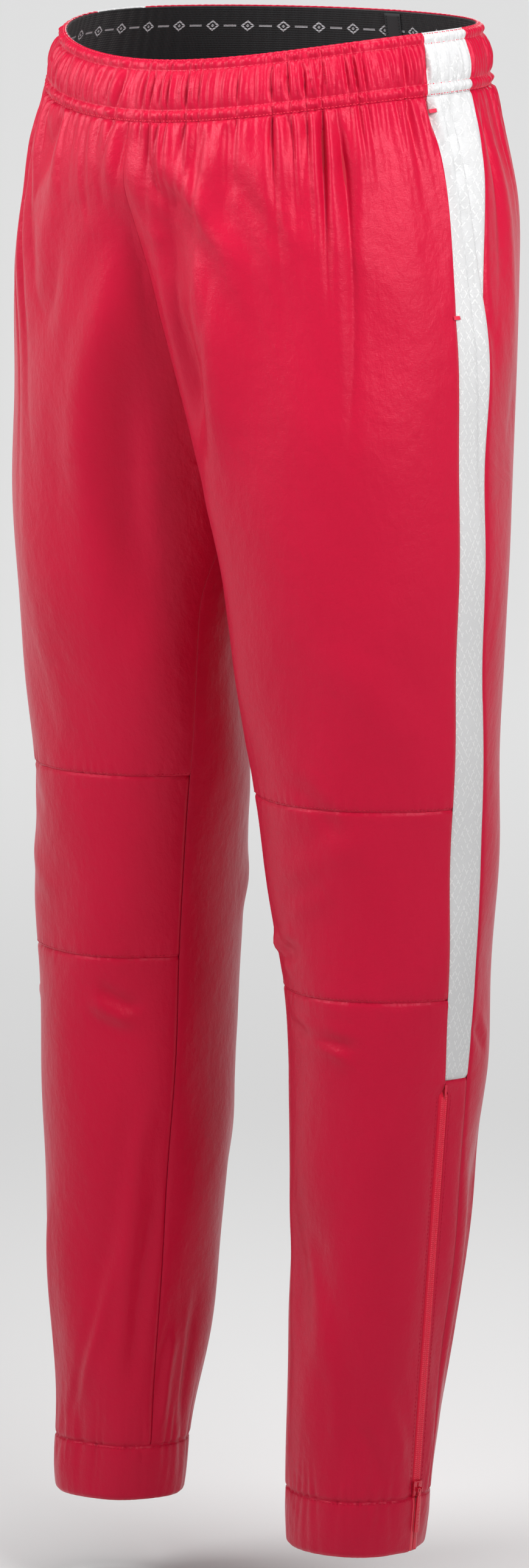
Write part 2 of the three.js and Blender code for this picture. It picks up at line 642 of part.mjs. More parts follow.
// Every piece is drawn for the left leg; the right leg is its mirror image.
for (const [side, sign] of [["left", 1], ["right", -1]]) {
  const leg = new THREE.Group();
  leg.scale.x = sign;
  garment.add(leg);
  add(leg, `thigh_front_${side}`, thighFront(), RED);
  add(leg, `knee_panel_${side}`, kneePanel(), RED);
  add(leg, `shin_panel_${side}`, shinPanel(), RED);
  add(leg, `back_panel_${side}`, backPanel(), RED);
  add(leg, `side_stripe_${side}`, stripePanel(), WHITE);
  add(leg, `lower_side_panel_${side}`, lowerSidePanel(), RED);
  add(leg, `cuff_band_${side}`, cuffBand(), RED);
  add(leg, `slit_binding_front_${side}`, slitBinding(1), GLOSSY_RED);
  add(leg, `slit_binding_back_${side}`, slitBinding(-1), GLOSSY_RED);
  add(leg, `pocket_bag_${side}`, pocketBag(), LINING);
  add(leg, `pocket_bartack_top_${side}`, bartack(POCKET_TOP), RED_TAPE);
  add(leg, `pocket_bartack_low_${side}`, bartack(POCKET_TOP - POCKET_MOUTH), RED_TAPE);
  const zip = zipGroup();
  leg.add(zip);
  add(zip, `zip_tape_front_${side}`, tape(-1), RED_TAPE);
  add(zip, `zip_tape_back_${side}`, tape(1), RED_TAPE);
  add(zip, `zip_coil_front_${side}`, coil(-1), RED_TAPE);
  add(zip, `zip_coil_back_${side}`, coil(1), RED_TAPE);
  add(zip, `zip_top_stop_${side}`, topStop(), RED_TAPE);
  add(zip, `zip_slider_${side}`, slider(), GLOSSY_RED);
  add(zip, `zip_pull_${side}`, pull(), GLOSSY_RED);
}

export default garment;
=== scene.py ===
import math

import bpy
import numpy as np
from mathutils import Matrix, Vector


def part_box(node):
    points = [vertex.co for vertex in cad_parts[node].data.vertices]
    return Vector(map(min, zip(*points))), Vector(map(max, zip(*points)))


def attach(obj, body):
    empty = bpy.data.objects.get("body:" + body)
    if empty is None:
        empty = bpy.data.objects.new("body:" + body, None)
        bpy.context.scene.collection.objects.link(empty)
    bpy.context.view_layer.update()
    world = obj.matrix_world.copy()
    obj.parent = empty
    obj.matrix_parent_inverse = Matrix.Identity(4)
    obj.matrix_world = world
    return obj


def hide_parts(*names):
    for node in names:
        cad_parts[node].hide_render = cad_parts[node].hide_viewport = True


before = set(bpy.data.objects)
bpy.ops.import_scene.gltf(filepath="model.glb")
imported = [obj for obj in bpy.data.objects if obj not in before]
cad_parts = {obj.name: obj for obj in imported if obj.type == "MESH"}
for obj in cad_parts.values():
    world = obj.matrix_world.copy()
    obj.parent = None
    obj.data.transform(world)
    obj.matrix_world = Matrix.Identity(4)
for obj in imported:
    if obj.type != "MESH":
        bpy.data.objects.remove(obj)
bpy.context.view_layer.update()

# Warm-up trousers in their worn shape. Lengths are in millimetres and heights run up from the hem;
# a piece's points are turned into the frame's metres when its mesh is made.
MM = 0.001
LEGS = ("left", "right")
SIDES = {"left": 1, "right": -1, "band": 1}  # the sign of x; "band" is a piece that runs round the waist
BODY = "trousers"

# ---- Landmarks, read from the frame ----
hem_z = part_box("cuff_band_left")[0].z


def height_of(z):
    return (z - hem_z) / MM


CUFF = height_of(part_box("shin_panel_left")[0].z)
STRIPE_END = height_of(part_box("side_stripe_left")[0].z)
KNEE_LOW = height_of(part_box("knee_panel_left")[0].z)
KNEE_HIGH = height_of(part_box("thigh_front_left")[0].z)
WAIST_TOP = height_of(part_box("waistband_back")[1].z)
BAND = (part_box("waistband_back")[1].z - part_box("waistband_back")[0].z) / MM
WAIST_SEAM = WAIST_TOP - BAND
ZIP_TOP = height_of(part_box("zip_top_stop_left")[1].z) - 2.4  # the coil ends this far below the stop's top
CROTCH = 745.0
RISE = WAIST_SEAM - CROTCH
CROTCH_CURVE = 85.0  # how far up the seat seam curves out of the inseam
FRONT_DIP = 22.0  # the waist is this much lower at the front
SEAM = 0.06  # between the two legs' cloth at the seat seam
MID_THIGH = CROTCH - 0.47 * (CROTCH - KNEE_HIGH)
HIPS = [CROTCH + RISE * u for u in (0.28, 0.5, 0.7, 0.87)]
POCKET_TOP = WAIST_SEAM - 10
POCKET_LOW = POCKET_TOP - 140
WAIST_CENTRE = 24  # how far back the waist's middle line is
ZIP_FACE = -0.8  # from the smooth tube to the zip's line
ROUND = 6.28  # just under a full turn

# ---- The worn tube: one leg's horizontal section at each landmark ----
# height, centre x, centre y, half width, half depth, degrees turned out
STATIONS = np.array([
    (0, 118, -7, 48, 45, 21),
    (STRIPE_END, 124, 18, 68, 70, 21),
    (KNEE_LOW + 10, 123, 19, 73, 72, 21),
    (KNEE_HIGH, 116, 15, 86, 76, 21),
    (MID_THIGH, 109, 11, 98, 88, 21),
    (CROTCH, 97, 11, 111, 100, 21),
    (HIPS[0], 80, 14, 126, 111, 16),
    (HIPS[1], 58, 18, 143, 122, 10),
    (HIPS[2], 34, 22, 160, 131, 5),
    (HIPS[3], 9.7, 23, 173, 137, 1),
    (WAIST_SEAM, 0, 24, 173, 133, 0),
    (WAIST_TOP, 0, 27, 163, 124, 0),
], float)
# the side stripe's front and back edges, in degrees round the section
EDGE_HEIGHTS = [STRIPE_END, KNEE_LOW, KNEE_HIGH, MID_THIGH, CROTCH, *HIPS, WAIST_SEAM, WAIST_TOP]
STRIPE_FRONT = [31, 31.5, 30, 27.5, 26.5, 22.5, 17.5, 13, 8, 7, 6.5]
STRIPE_BACK = [11, 8.5, 9, 10.6, 12, 8.4, 3.4, -2.3, -9.4, -12.5, -14]
LOWER_SEAM_BOTTOM = -10
ZIP_ANGLE_TOP = 28.5
ZIP_ANGLE_BOTTOM = 13
INSEAM = 180


def smooth(heights, values, at):
    """A smooth curve through the values, straight in its first stretch."""
    heights = np.asarray(heights, float)
    values = np.asarray(values, float)
    at = np.asarray(at, float)
    i = np.clip(np.searchsorted(heights, at, side="left") - 1, 0, len(heights) - 2)
    chord = np.diff(values) / np.diff(heights)
    slope = np.concatenate([[chord[0]], (chord[1:] + chord[:-1]) / 2, [chord[-1]]])
    wide = heights[i + 1] - heights[i]
    u = (at - heights[i]) / wide
    bent = (
        values[i] * (1 + 2 * u) * (1 - u) ** 2
        + slope[i] * wide * u * (1 - u) ** 2
        + values[i + 1] * u * u * (3 - 2 * u)
        + slope[i + 1] * wide * u * u * (u - 1)
    )
    straight = values[i] + (values[i + 1] - values[i]) * u
    return np.where((i == 0) | (u > 1) | (u < 0), straight, bent)


def ramp(value, low, high):
    """0 at low and 1 at high, with a smooth rise between them."""
    u = np.clip((np.asarray(value, float) - low) / (high - low), 0, 1)
    return u * u * (3 - 2 * u)


def section(height):
    """The leg's centre x and y, half width, half depth and turn at a height."""
    return [smooth(STATIONS[:, 0], STATIONS[:, k], height) for k in range(1, 6)]


def dip(height, angle):
    """How far the front of the waist drops."""
    forward = ((1 + np.sin(np.radians(angle))) / 2) ** 4
    return FRONT_DIP * forward * ramp(height, HIPS[1], POCKET_TOP)


def on_leg(height, angle, out=0.0):
    """Points on the left leg: angle 0 is the outer side, 90 the front, 180 the inner side, 270 the back."""
    x, y, a, b, toe = section(height)
    toe = np.radians(toe)
    t = np.radians(angle)
    along = (a + out) * np.cos(t)
    across = -(b + out) * np.sin(t)
    px = x + along * np.cos(toe) - across * np.sin(toe)
    py = y + along * np.sin(toe) + across * np.cos(toe)
    return np.stack([np.maximum(px, SEAM / 2), py, height - dip(height, angle)], -1)


def on_band(height, angle, out=0.0):
    """Points on the waistband, round the whole waist."""
    _, y, a, b, _ = section(height)
    t = np.radians(angle)
    return np.stack([(a + out) * np.cos(t), y - (b + out) * np.sin(t), height - dip(height, angle)], -1)


def stripe_front(height):
    return smooth(EDGE_HEIGHTS, STRIPE_FRONT, height)


def stripe_back(height):
    return smooth(EDGE_HEIGHTS, STRIPE_BACK, height)


def back_seam(height):
    """The back panel's outer edge: behind the stripe, then straight on to the hem."""
    height = np.asarray(height, float)
    low = LOWER_SEAM_BOTTOM + (STRIPE_BACK[0] - LOWER_SEAM_BOTTOM) * height / STRIPE_END
    return np.where(height >= STRIPE_END, stripe_back(height), low)


def middle_angles(height):
    """Where a leg's section meets the middle line at the front and at the back, and its innermost angle."""
    x, _, a, b, toe = section(height)
    toe = np.radians(toe)
    reach = np.hypot(a * np.cos(toe), b * np.sin(toe))
    turn = np.degrees(np.arctan2(b * np.sin(toe), a * np.cos(toe)))
    half = np.degrees(np.arccos(np.clip((SEAM / 2 - x) / reach, -1, 1)))
    return turn + half, turn - half + 360, turn + 180


def inseam(height):
    return INSEAM + (middle_angles(CROTCH)[2] - INSEAM) * ramp(height, MID_THIGH, CROTCH)


def inner_edge(height, face):
    """The inseam, which turns into the seat seam above the crotch."""
    height = np.asarray(height, float)
    u = np.clip((height - CROTCH) / CROTCH_CURVE, 0, 1)
    spread = np.sqrt(1 - (1 - u) ** 2)
    middle = middle_angles(height)[0 if face == "front" else 1]
    start = inseam(np.minimum(height, CROTCH))
    return np.where(height <= CROTCH, start, start + (middle - start) * spread)


# ---- The ankle zip's straight line ----
zip_foot = on_leg(CUFF, ZIP_ANGLE_BOTTOM, ZIP_FACE)
zip_head = on_leg(ZIP_TOP, ZIP_ANGLE_TOP, ZIP_FACE)
zip_along = (zip_head - zip_foot) / np.linalg.norm(zip_head - zip_foot)
middle_height = (CUFF + ZIP_TOP) / 2
middle_zip = on_leg(middle_height, (ZIP_ANGLE_BOTTOM + ZIP_ANGLE_TOP) / 2, ZIP_FACE)
outward = middle_zip - np.array([*[float(v) for v in section(middle_height)[:2]], middle_zip[2]])
zip_forward = np.cross(outward, zip_along)
zip_forward /= np.linalg.norm(zip_forward)
zip_out = np.cross(zip_along, zip_forward)


def beside_zip(height, forward):
    """The angle whose point lies this far forward of the zip's line."""
    height = np.asarray(height, float)
    share = (height - zip_foot[2]) / (zip_head[2] - zip_foot[2])
    centre = zip_foot + share[..., None] * (zip_head - zip_foot)
    low = np.full(height.shape, -60.0)
    high = np.full(height.shape, 90.0)
    for _ in range(30):
        middle = (low + high) / 2
        offset = (on_leg(height, middle, ZIP_FACE) - centre) @ zip_forward
        low = np.where(offset < forward, middle, low)
        high = np.where(offset < forward, high, middle)
    return (low + high) / 2


ZIP_EDGE = 3.9  # from the zip's line to the rolled edge of the cloth either side


def zip_half(height):
    """Half the width of the opening over the zip, which closes above it."""
    return ZIP_EDGE * (1 - 0.94 * ramp(height, ZIP_TOP - 1, STRIPE_END - 3))


def shin_front(height):
    """The shin's outer edge: beside the zip, then out to the stripe's front edge."""
    height = np.asarray(height, float)
    beside = beside_zip(height, zip_half(height))
    return beside + (stripe_front(KNEE_LOW) - beside) * ramp(height, STRIPE_END, KNEE_LOW)


def lower_front(height):
    return beside_zip(height, -zip_half(height))


def front_edge(height):
    height = np.asarray(height, float)
    return np.where(height < KNEE_LOW, shin_front(height), stripe_front(height))


# ---- Relief: how far the cloth stands out from the smooth tube, in millimetres ----
ROWS = np.array([0.9, 8.0, BAND - 7.6, BAND - 1.0])  # rows of stitching above the waist seam


def unit(vectors):
    return vectors / np.maximum(np.linalg.norm(vectors, axis=-1, keepdims=True), 1e-9)


def body_angle(points, side):
    """The direction from the trousers' middle line: 0 at the wearer's left, 90 at the front."""
    return np.degrees(np.arctan2((WAIST_CENTRE - points[..., 1]) * 1.3, points[..., 0] * SIDES[side])) % 360


def waves(angle, height, count, seed, sway=0.6, drift=0.012, sharp=0.85):
    """Rounded ridges with narrow valleys between them, irregular in width, from -1 to 0.6."""
    rng = np.random.default_rng(seed)
    t = np.radians(angle)
    phase = count * t + rng.uniform(0, ROUND)
    for k in range(3, 14):
        turn = rng.uniform(0, ROUND) + height * rng.normal() * drift
        phase = phase + sway * rng.normal() * np.sin(k * t + turn)
    return 1.6 * np.abs(np.sin(phase / 2)) ** sharp - 1.0


def patches(angle, height, seed, rounds, rise):
    """A slow irregular change between about 0 and 1."""
    rng = np.random.default_rng(seed)
    t = np.radians(angle)
    total = np.zeros(np.broadcast(angle, height).shape)
    for k in rounds:
        total = total + rng.normal() * np.sin(k * t + rng.uniform(0, ROUND) + height * rng.normal() * rise)
    return ramp(total / math.sqrt(len(rounds)), -1.1, 1.1)


def gathers(height, angle):
    """The gathers that the elastic makes in the band and in the cloth below it."""
    up = height - WAIST_SEAM
    below = np.maximum(-up, 0)
    in_band = ramp(up, -2.5, 0.8)
    pinch = np.ones_like(up)
    for row in ROWS:
        pinch = np.minimum(pinch, 1 - 0.8 * np.exp(-(((up - row) / 1.7) ** 2)))
    puff = np.zeros_like(up)
    for low, high, full in zip(ROWS[:-1], ROWS[1:], (1.3, 2.3, 1.2)):
        share = np.clip((up - low) / (high - low), 0, 1)
        puff = puff + full * np.sin(np.pi * share) ** 0.7
    fine = waves(angle, height, 170, 11, 1.6, 0.02, 0.6)
    medium = waves(angle, height, 96, 12, 1.4)
    wide = waves(angle, height, 46, 13, 1.6, 0.006)
    long = waves(angle, height, 25, 14, 1.7, 0.004)
    some = patches(angle, height, 15, (9, 14, 21, 33, 47), 0.01)
    few = patches(angle, height * 0.3, 16, (5, 8, 13, 21, 30), 0.01)
    creases = 1.25 * fine * (0.4 + 0.6 * pinch) * (0.7 + 0.6 * some)
    band = creases + (2.2 * medium * (0.55 + 0.7 * some) + 0.9 * wide) * pinch * puff / 2.3
    reach = 40 + 190 * few ** 2
    hang = (
        1.1 * fine * np.exp(-below / 9)
        + 2.4 * medium * (0.3 + some) * np.exp(-((below / 32) ** 1.2))
        + 3.2 * wide * (0.3 + some) * np.exp(-((below / (35 + 60 * few)) ** 1.4)) * ramp(below, -4, 14)
        + 4.6 * long * (0.2 + few) * np.exp(-((below / reach) ** 1.6)) * ramp(below, 0, 40)
    )
    return in_band * (band + puff - 1.0) + (1 - in_band) * (hang - 1.0 * np.exp(-below / 3))


def fold(height, angle, angle_1, height_1, angle_2, height_2, size, width, bow):
    """One soft ridge, or a valley where size is negative, from one angle and height to another."""
    degree = math.radians(1) * 78.0  # one degree round a typical leg
    x = (angle - angle_1) * degree
    y = height - height_1
    dx = (angle_2 - angle_1) * degree
    dy = height_2 - height_1
    long = math.hypot(dx, dy)
    along = (x * dx + y * dy) / long / long
    off = (x * dy - y * dx) / long - bow * 4 * along * (1 - along)
    ends = ramp(along, -0.05, 0.3) * (1 - ramp(along, 0.7, 1.05))
    side = np.exp(-((off / width) ** 2)) - 0.45 * np.exp(-(((off - 1.7 * width) / width) ** 2))
    return size * side * ends


# angle and height of each end, how far the fold stands out, its width and its bow
FOLDS = {
    "left": [
        (150, 930, 162, 640, -5.0, 18, 4), (92, 940, 135, 760, -12.0, 10, 0),
        (123, 935, 143, 730, -4.0, 13, 5), (78, 930, 121, 745, 2.4, 12, 0),
        (118, 960, 128, 860, -2.4, 7, -3), (100, 970, 112, 830, 2.4, 9, 4),
        (84, 985, 92, 850, -2.6, 6, 2), (76, 990, 80, 890, 2.4, 6, -2),
        (110, 992, 104, 900, 2.6, 6, 2), (64, 985, 66, 900, -2.0, 5, 1),
        (46, 990, 48, 880, 2.0, 8, 2), (60, 955, 64, 800, 1.6, 12, 3),
        (150, 720, 160, 560, -2.2, 14, 0), (92, 640, 52, 560, 1.3, 15, 6),
        (112, 545, 86, 500, -1.2, 7, 3), (128, 470, 72, 512, 1.5, 11, -6),
        (126, 446, 84, 480, 1.1, 8, -4), (150, 408, 118, 424, -2.8, 6, 2),
        (152, 432, 128, 404, 2.2, 6, -2), (140, 372, 82, 360, -2.0, 4.5, -3),
        (122, 366, 84, 348, 1.8, 5, 2), (8, 372, -6, 350, -2.0, 5, 0),
        (128, 232, 100, 120, 1.6, 10, 5), (104, 190, 84, 60, 1.5, 9, 4),
        (150, 260, 132, 130, 1.6, 12, -5), (58, 120, 30, 62, 1.5, 8, 3),
        (70, 96, 48, 48, -1.5, 6, 2), (2, 290, -8, 100, 2.2, 9, 3),
        (-22, 300, -18, 90, -1.8, 10, -3), (205, 700, 215, 520, -2.0, 16, 0),
        (250, 760, 320, 640, 2.0, 20, 8), (240, 600, 300, 520, 2.2, 18, 6),
        (230, 560, 310, 470, -2.4, 12, 4), (225, 430, 300, 480, 1.9, 12, -4),
        (240, 300, 300, 180, 1.6, 14, 4), (215, 200, 250, 70, 1.8, 10, 3),
        (285, 160, 300, 60, 1.5, 9, 2), (262, 860, 236, 770, 3.0, 16, 6),
        (286, 820, 240, 720, -2.4, 12, 8),
    ],
    "right": [
        (128, 960, 160, 600, -8.0, 15, 5), (112, 950, 130, 700, 2.6, 10, 4),
        (96, 950, 104, 820, 2.0, 10, 3), (70, 950, 76, 860, -1.7, 8, 2),
        (152, 760, 158, 560, 1.8, 12, 0), (96, 640, 120, 540, 1.2, 12, 4),
        (60, 530, 92, 488, -1.0, 7, 3), (62, 470, 104, 430, 1.2, 10, 3),
        (38, 386, 62, 360, -2.4, 5, 2), (40, 368, 64, 350, 1.8, 5, -2),
        (132, 372, 160, 356, -2.6, 5, 3), (126, 360, 158, 344, 1.8, 5, 2),
        (168, 300, 150, 120, 2.0, 9, 4), (176, 240, 160, 70, -2.4, 8, 3),
        (150, 190, 112, 62, 2.4, 8, -5), (138, 160, 104, 52, -1.8, 6, -4),
        (84, 220, 78, 60, 1.4, 9, 2), (60, 200, 56, 60, -1.3, 8, -2),
        (196, 130, 188, 48, 2.4, 6, 2), (210, 150, 206, 50, -2.0, 6, -2),
        (2, 290, -8, 100, 2.0, 9, 3), (205, 700, 222, 500, -2.2, 14, 0),
        (250, 770, 315, 650, 2.2, 18, 8), (236, 590, 296, 500, 2.0, 16, 6),
        (232, 540, 312, 470, -2.0, 12, 4), (228, 420, 296, 470, 1.8, 12, -4),
        (245, 290, 290, 170, 1.7, 13, 4), (270, 170, 285, 60, 1.6, 9, 2),
        (258, 850, 232, 760, 2.6, 15, 6),
    ],
}
SEEDS = {"left": 21, "right": 22}


def undulation(height, angle, seed):
    """Long slow swells, so that no stretch of cloth is a perfect tube."""
    rng = np.random.default_rng(seed)
    t = np.radians(angle)
    total = 0
    for _ in range(16):
        rise = rng.uniform(0.008, 0.05) * rng.choice([-1, 1])
        total = total + rng.normal() * np.sin(rng.integers(1, 7) * t + rise * height + rng.uniform(0, ROUND))
    return total / 4


def zip_bulge(height):
    """How far the smooth tube stands out from the zip's straight line."""
    height = np.clip(height, CUFF, ZIP_TOP)
    table = np.linspace(CUFF, ZIP_TOP, 30)
    share = (table - zip_foot[2]) / (zip_head[2] - zip_foot[2])
    line = zip_foot + share[:, None] * (zip_head - zip_foot)
    out = (on_leg(table, beside_zip(table, 0.0)) - line) @ zip_out + ZIP_FACE
    return np.interp(height, table, out)


# how the cloth of each calf hangs: height, reach up and down, angle, spread in degrees, millimetres out
SHAPE = {
    "left": [(240, 50, 309, 42, 4.5), (175, 130, 309, 42, 2.2), (208, 42, 135, 40, -5.6)],
    "right": [(190, 120, 225, 44, 7.5), (280, 70, 45, 40, 2.0)],
}


def seam_puckers(height, angle, side):
    """Small puckers at the knee seams and above and below the cuff's seam, and the cuff's rounded turn-up."""
    total = 0.0
    front = ramp(np.sin(np.radians(angle)), -0.1, 0.3)
    for seam in (KNEE_LOW, KNEE_HIGH):
        near = np.exp(-(((height - seam) / 9) ** 2))
        total = total + 0.45 * near * front * waves(angle, height, 46, int(seam) + SEEDS[side], 1.5)
    to_cuff = height - CUFF
    fall = np.where(to_cuff > 0, np.exp(-np.maximum(to_cuff, 0) / 22), np.exp(np.minimum(to_cuff, 0) / 30))
    total = total + waves(angle, height, 34, 31 + SEEDS[side], 1.5) * fall
    return total + 1.3 * np.sin(np.pi * np.clip(height / CUFF, 0, 1)) ** 0.6 - 0.6 * (height < CUFF)


def relief(points, height, angle, side):
    """How far the cloth stands out from the smooth tube."""
    total = np.where(height > CROTCH - 150, gathers(height, body_angle(points, side)), 0.0)
    if side == "band":
        return total
    hips = ramp(height, CROTCH - 80, CROTCH - 5)
    middle = 1 - hips * (1 - ramp(points[..., 0], 1, 40))
    calm = 1 - 0.8 * ramp(height, WAIST_SEAM - 60, WAIST_SEAM - 10)
    total = total + 1.1 * undulation(height, angle, SEEDS[side]) * middle * calm
    wrapped = np.where(angle > 335, angle - 360, angle)
    for row in FOLDS[side]:
        total = total + fold(height, wrapped, *row) * middle
    for level, reach, toward, spread, size in SHAPE[side]:
        turned = (np.cos(np.radians(angle - toward)) - 1) * 2 / math.radians(spread) ** 2
        total = total + size * np.exp(turned - ((height - level) / reach) ** 2)
    total = total + seam_puckers(height, angle, side)
    # the cloth is calm beside the zip and lies down to its straight line
    across = (points - zip_foot) @ zip_forward
    outside = (points - zip_foot) @ zip_out > -25
    near = np.where(outside & (height < STRIPE_END + 30), np.exp(-((across / 13) ** 2)), 0)
    calm = np.where(outside & (height < STRIPE_END), ramp(np.abs(across), 3, 16), 1.0)
    sunk = 1.9 * ramp(height, CUFF - 8, CUFF + 8) * (1 - ramp(height, ZIP_TOP, STRIPE_END + 6))
    return total * calm - (zip_bulge(height) + sunk) * near


def furrow(points, height, angle):
    """How far the cloth sinks back between the two thighs at the front."""
    facing = ramp(np.sin(np.radians(angle)), -0.1, 0.5)
    stretch = ramp(height, CROTCH - 120, CROTCH - 20) * (1 - ramp(height, CROTCH + 120, CROTCH + 225))
    return 10 * facing * stretch * np.exp(-((points[..., 0] / 18) ** 2))


def surface(height, angle, side, place=on_leg, lift=0.0):
    """Points on the folded cloth, and the outward direction of the smooth tube there."""
    height, angle = np.broadcast_arrays(np.asarray(height, float), np.asarray(angle, float))
    base = place(height, angle)
    up = place(height + 0.5, angle) - place(height - 0.5, angle)
    on = place(height, angle + 0.3) - place(height, angle - 0.3)
    normal = unit(np.cross(up, on))
    points = base + normal * (relief(base, height, angle, side) + lift)[..., None]
    if side != "band":  # the legs' cloth keeps to the middle line at the seat seam
        free = 1 - ramp(height, CROTCH - 10, CROTCH) * (1 - ramp(base[..., 0], 1, 14))
        points[..., 0] = base[..., 0] + (points[..., 0] - base[..., 0]) * free
        points[..., 1] += furrow(base, height, angle)
    return points, normal


# ---- Meshes ----
def make_object(name, vertices, faces, uv=None, side="left"):
    """An object from points on the left leg, which the right leg mirrors."""
    vertices = np.array(vertices, float)
    if SIDES[side] < 0:
        vertices[:, 0] *= -1
        faces = [face[::-1] for face in faces]
    mesh = bpy.data.meshes.new(name)
    mesh.from_pydata((vertices * MM + [0, 0, hem_z]).tolist(), [], faces)
    mesh.polygons.foreach_set("use_smooth", np.ones(len(mesh.polygons), bool))
    if uv is not None:
        layer = mesh.uv_layers.new(name="cloth")
        corners = np.zeros(len(mesh.loops), np.int32)
        mesh.loops.foreach_get("vertex_index", corners)
        layer.data.foreach_set("uv", np.asarray(uv, np.float32)[corners].ravel())
    mesh.update()
    obj = bpy.data.objects.new(name, mesh)
    bpy.context.scene.collection.objects.link(obj)
    return obj


def grid_faces(rows, columns, ring=False):
    """Faces of a closed sheet: an outer grid, an inner grid after it, and the rim that joins them."""
    wide = columns if ring else columns + 1
    i, j = np.meshgrid(np.arange(rows), np.arange(columns), indexing="ij")
    step = (j + 1) % wide
    corners = [i * wide + j, (i + 1) * wide + j, (i + 1) * wide + step, i * wide + step]
    outer = np.stack(corners, -1).reshape(-1, 4)
    size = (rows + 1) * wide
    j = np.arange(columns)
    step = (j + 1) % wide
    top = rows * wide
    faces = [
        outer,
        outer[:, ::-1] + size,
        np.stack([j, step, step + size, j + size], -1),
        np.stack([top + j, top + j + size, top + step + size, top + step], -1),
    ]
    if not ring:
        first = np.arange(rows) * wide
        last = first + columns
        faces.append(np.stack([first, first + size, first + wide + size, first + wide], -1))
        faces.append(np.stack([last, last + wide, last + wide + size, last + size], -1))
    return np.concatenate(faces).tolist()


def tube_faces(rows, columns, ring=False):
    """Faces of a tube of round rows of points, with closed ends, or with its ends joined into a ring."""
    faces = []
    for i in range(rows if ring else rows - 1):
        low, high = i * columns, (i + 1) % rows * columns
        for j in range(columns):
            k = (j + 1) % columns
            faces.append((low + j, low + k, high + k, high + j))
    if not ring:
        faces.append(tuple(range(columns))[::-1])
        faces.append(tuple((rows - 1) * columns + j for j in range(columns)))
    return faces


def layered(name, outer, inner, uv, side="left", ring=False):
    """A closed sheet between two grids of points."""
    vertices = np.concatenate([outer.reshape(-1, 3), inner.reshape(-1, 3)])
    uv = np.stack(uv, -1).reshape(-1, 2) * MM
    rows, columns = outer.shape[:2]
    faces = grid_faces(rows - 1, columns if ring else columns - 1, ring)
    return make_object(name, vertices, faces, np.concatenate([uv, uv]), side)


ROLLED = np.array([0, 0.45, 1.0, 1.8, 2.8])  # grid lines from a seam, close together where the cloth rolls in


def steps(length, spacing):
    """Shares of the way across a panel."""
    count = max(2, int(round((length - 2 * ROLLED[-1]) / spacing)))
    middle = np.linspace(ROLLED[-1], length - ROLLED[-1], count + 1)
    return np.concatenate([ROLLED[:-1], middle, length - ROLLED[:-1][::-1]]) / length


def graded(low, high, spacing):
    """Heights up a panel, with finer rows towards the waist, the cuff and the panel's ends."""
    at = [low]
    while at[-1] < high:
        near_waist = ramp(at[-1], WAIST_SEAM - 150, WAIST_SEAM - 20)
        near_cuff = 1 - ramp(at[-1], CUFF + 5, CUFF + 50)
        at.append(at[-1] + spacing * (1 - 0.5 * max(near_waist, near_cuff)))
    inner = np.array([h for h in at if low + 3.6 < h < high - 3.6])
    return np.concatenate([low + ROLLED, inner, high - ROLLED[::-1]])


def roll(distance):
    """Cloth turns in at a seam."""
    return -np.exp(-((distance / 1.5) ** 2))


def panel(
    name, side, low, high, start, end,
    fineness=(3.2, 2.4), thickness=0.7, depths=(1, 1, 1, 1), place=on_leg, extra=None,
):
    """A sewn panel between two heights and two edge angles. depths says how far each edge turns in."""
    heights = graded(low, high, fineness[0])
    first, last = start(heights), end(heights)
    middle = np.full(60, (low + high) / 2)
    sample = place(middle, np.linspace(float(start(middle[0])), float(end(middle[0])), 60))
    girth = np.linalg.norm(np.diff(sample, axis=0), axis=1).sum()
    across = steps(girth, fineness[1])
    height = np.repeat(heights[:, None], len(across), 1)
    angle = first[:, None] + (last - first)[:, None] * across[None]
    base = place(height, angle)
    arc = np.cumsum(np.linalg.norm(np.diff(base, axis=1, prepend=base[:, :1]), axis=2), axis=1)
    back = arc[:, -1:] - arc
    inwards = (arc, back, height - low, high - height)
    lift = sum(depth * roll(distance) for depth, distance in zip(depths, inwards))
    if extra is not None:
        lift = lift + extra(height, arc, back)
    outer, _ = surface(height, angle, side, place, lift)
    if place is on_leg:
        outer[..., 0] = np.maximum(outer[..., 0], SEAM / 2)
    facing = unit(np.cross(np.gradient(outer, axis=0), np.gradient(outer, axis=1)))
    inner = outer - facing * thickness
    if place is on_leg:
        inner[..., 0] = np.maximum(inner[..., 0], SEAM / 2)
    obj = layered(name, outer, inner, (arc, height), side)
    return obj


class Shapes:
    """Many small shapes that become one mesh."""

    def __init__(self):
        self.vertices = []
        self.faces = []
        self.count = 0

    def add(self, vertices, faces):
        self.vertices.append(np.asarray(vertices, float).reshape(-1, 3))
        self.faces += [[corner + self.count for corner in face] for face in faces]
        self.count += len(self.vertices[-1])

    def make(self, name, side="left"):
        return make_object(name, np.concatenate(self.vertices), self.faces, None, side)


def beads(shapes, low, high, normal, width, height, sides=6):
    """Small rounded bars from each low point to its high point, such as stitches."""
    along = unit(high - low)
    across = np.cross(along, normal)
    rings = []
    for share in (0.22, 0.78):
        centre = low + (high - low) * share
        for k in range(sides):
            t = 2 * math.pi * k / sides
            rings.append(centre + across * width * math.cos(t) + normal * height * math.sin(t))
    points = np.stack([low, high, *rings], 1)
    faces = []
    for k in range(sides):
        a, b = 2 + k, 2 + (k + 1) % sides
        faces += [(0, b, a), (a, b, b + sides, a + sides), (1, a + sides, b + sides)]
    size = 2 + 2 * sides
    count = len(points)
    every = [[c + size * i for c in face] for i in range(count) for face in faces]
    shapes.add(points, every)


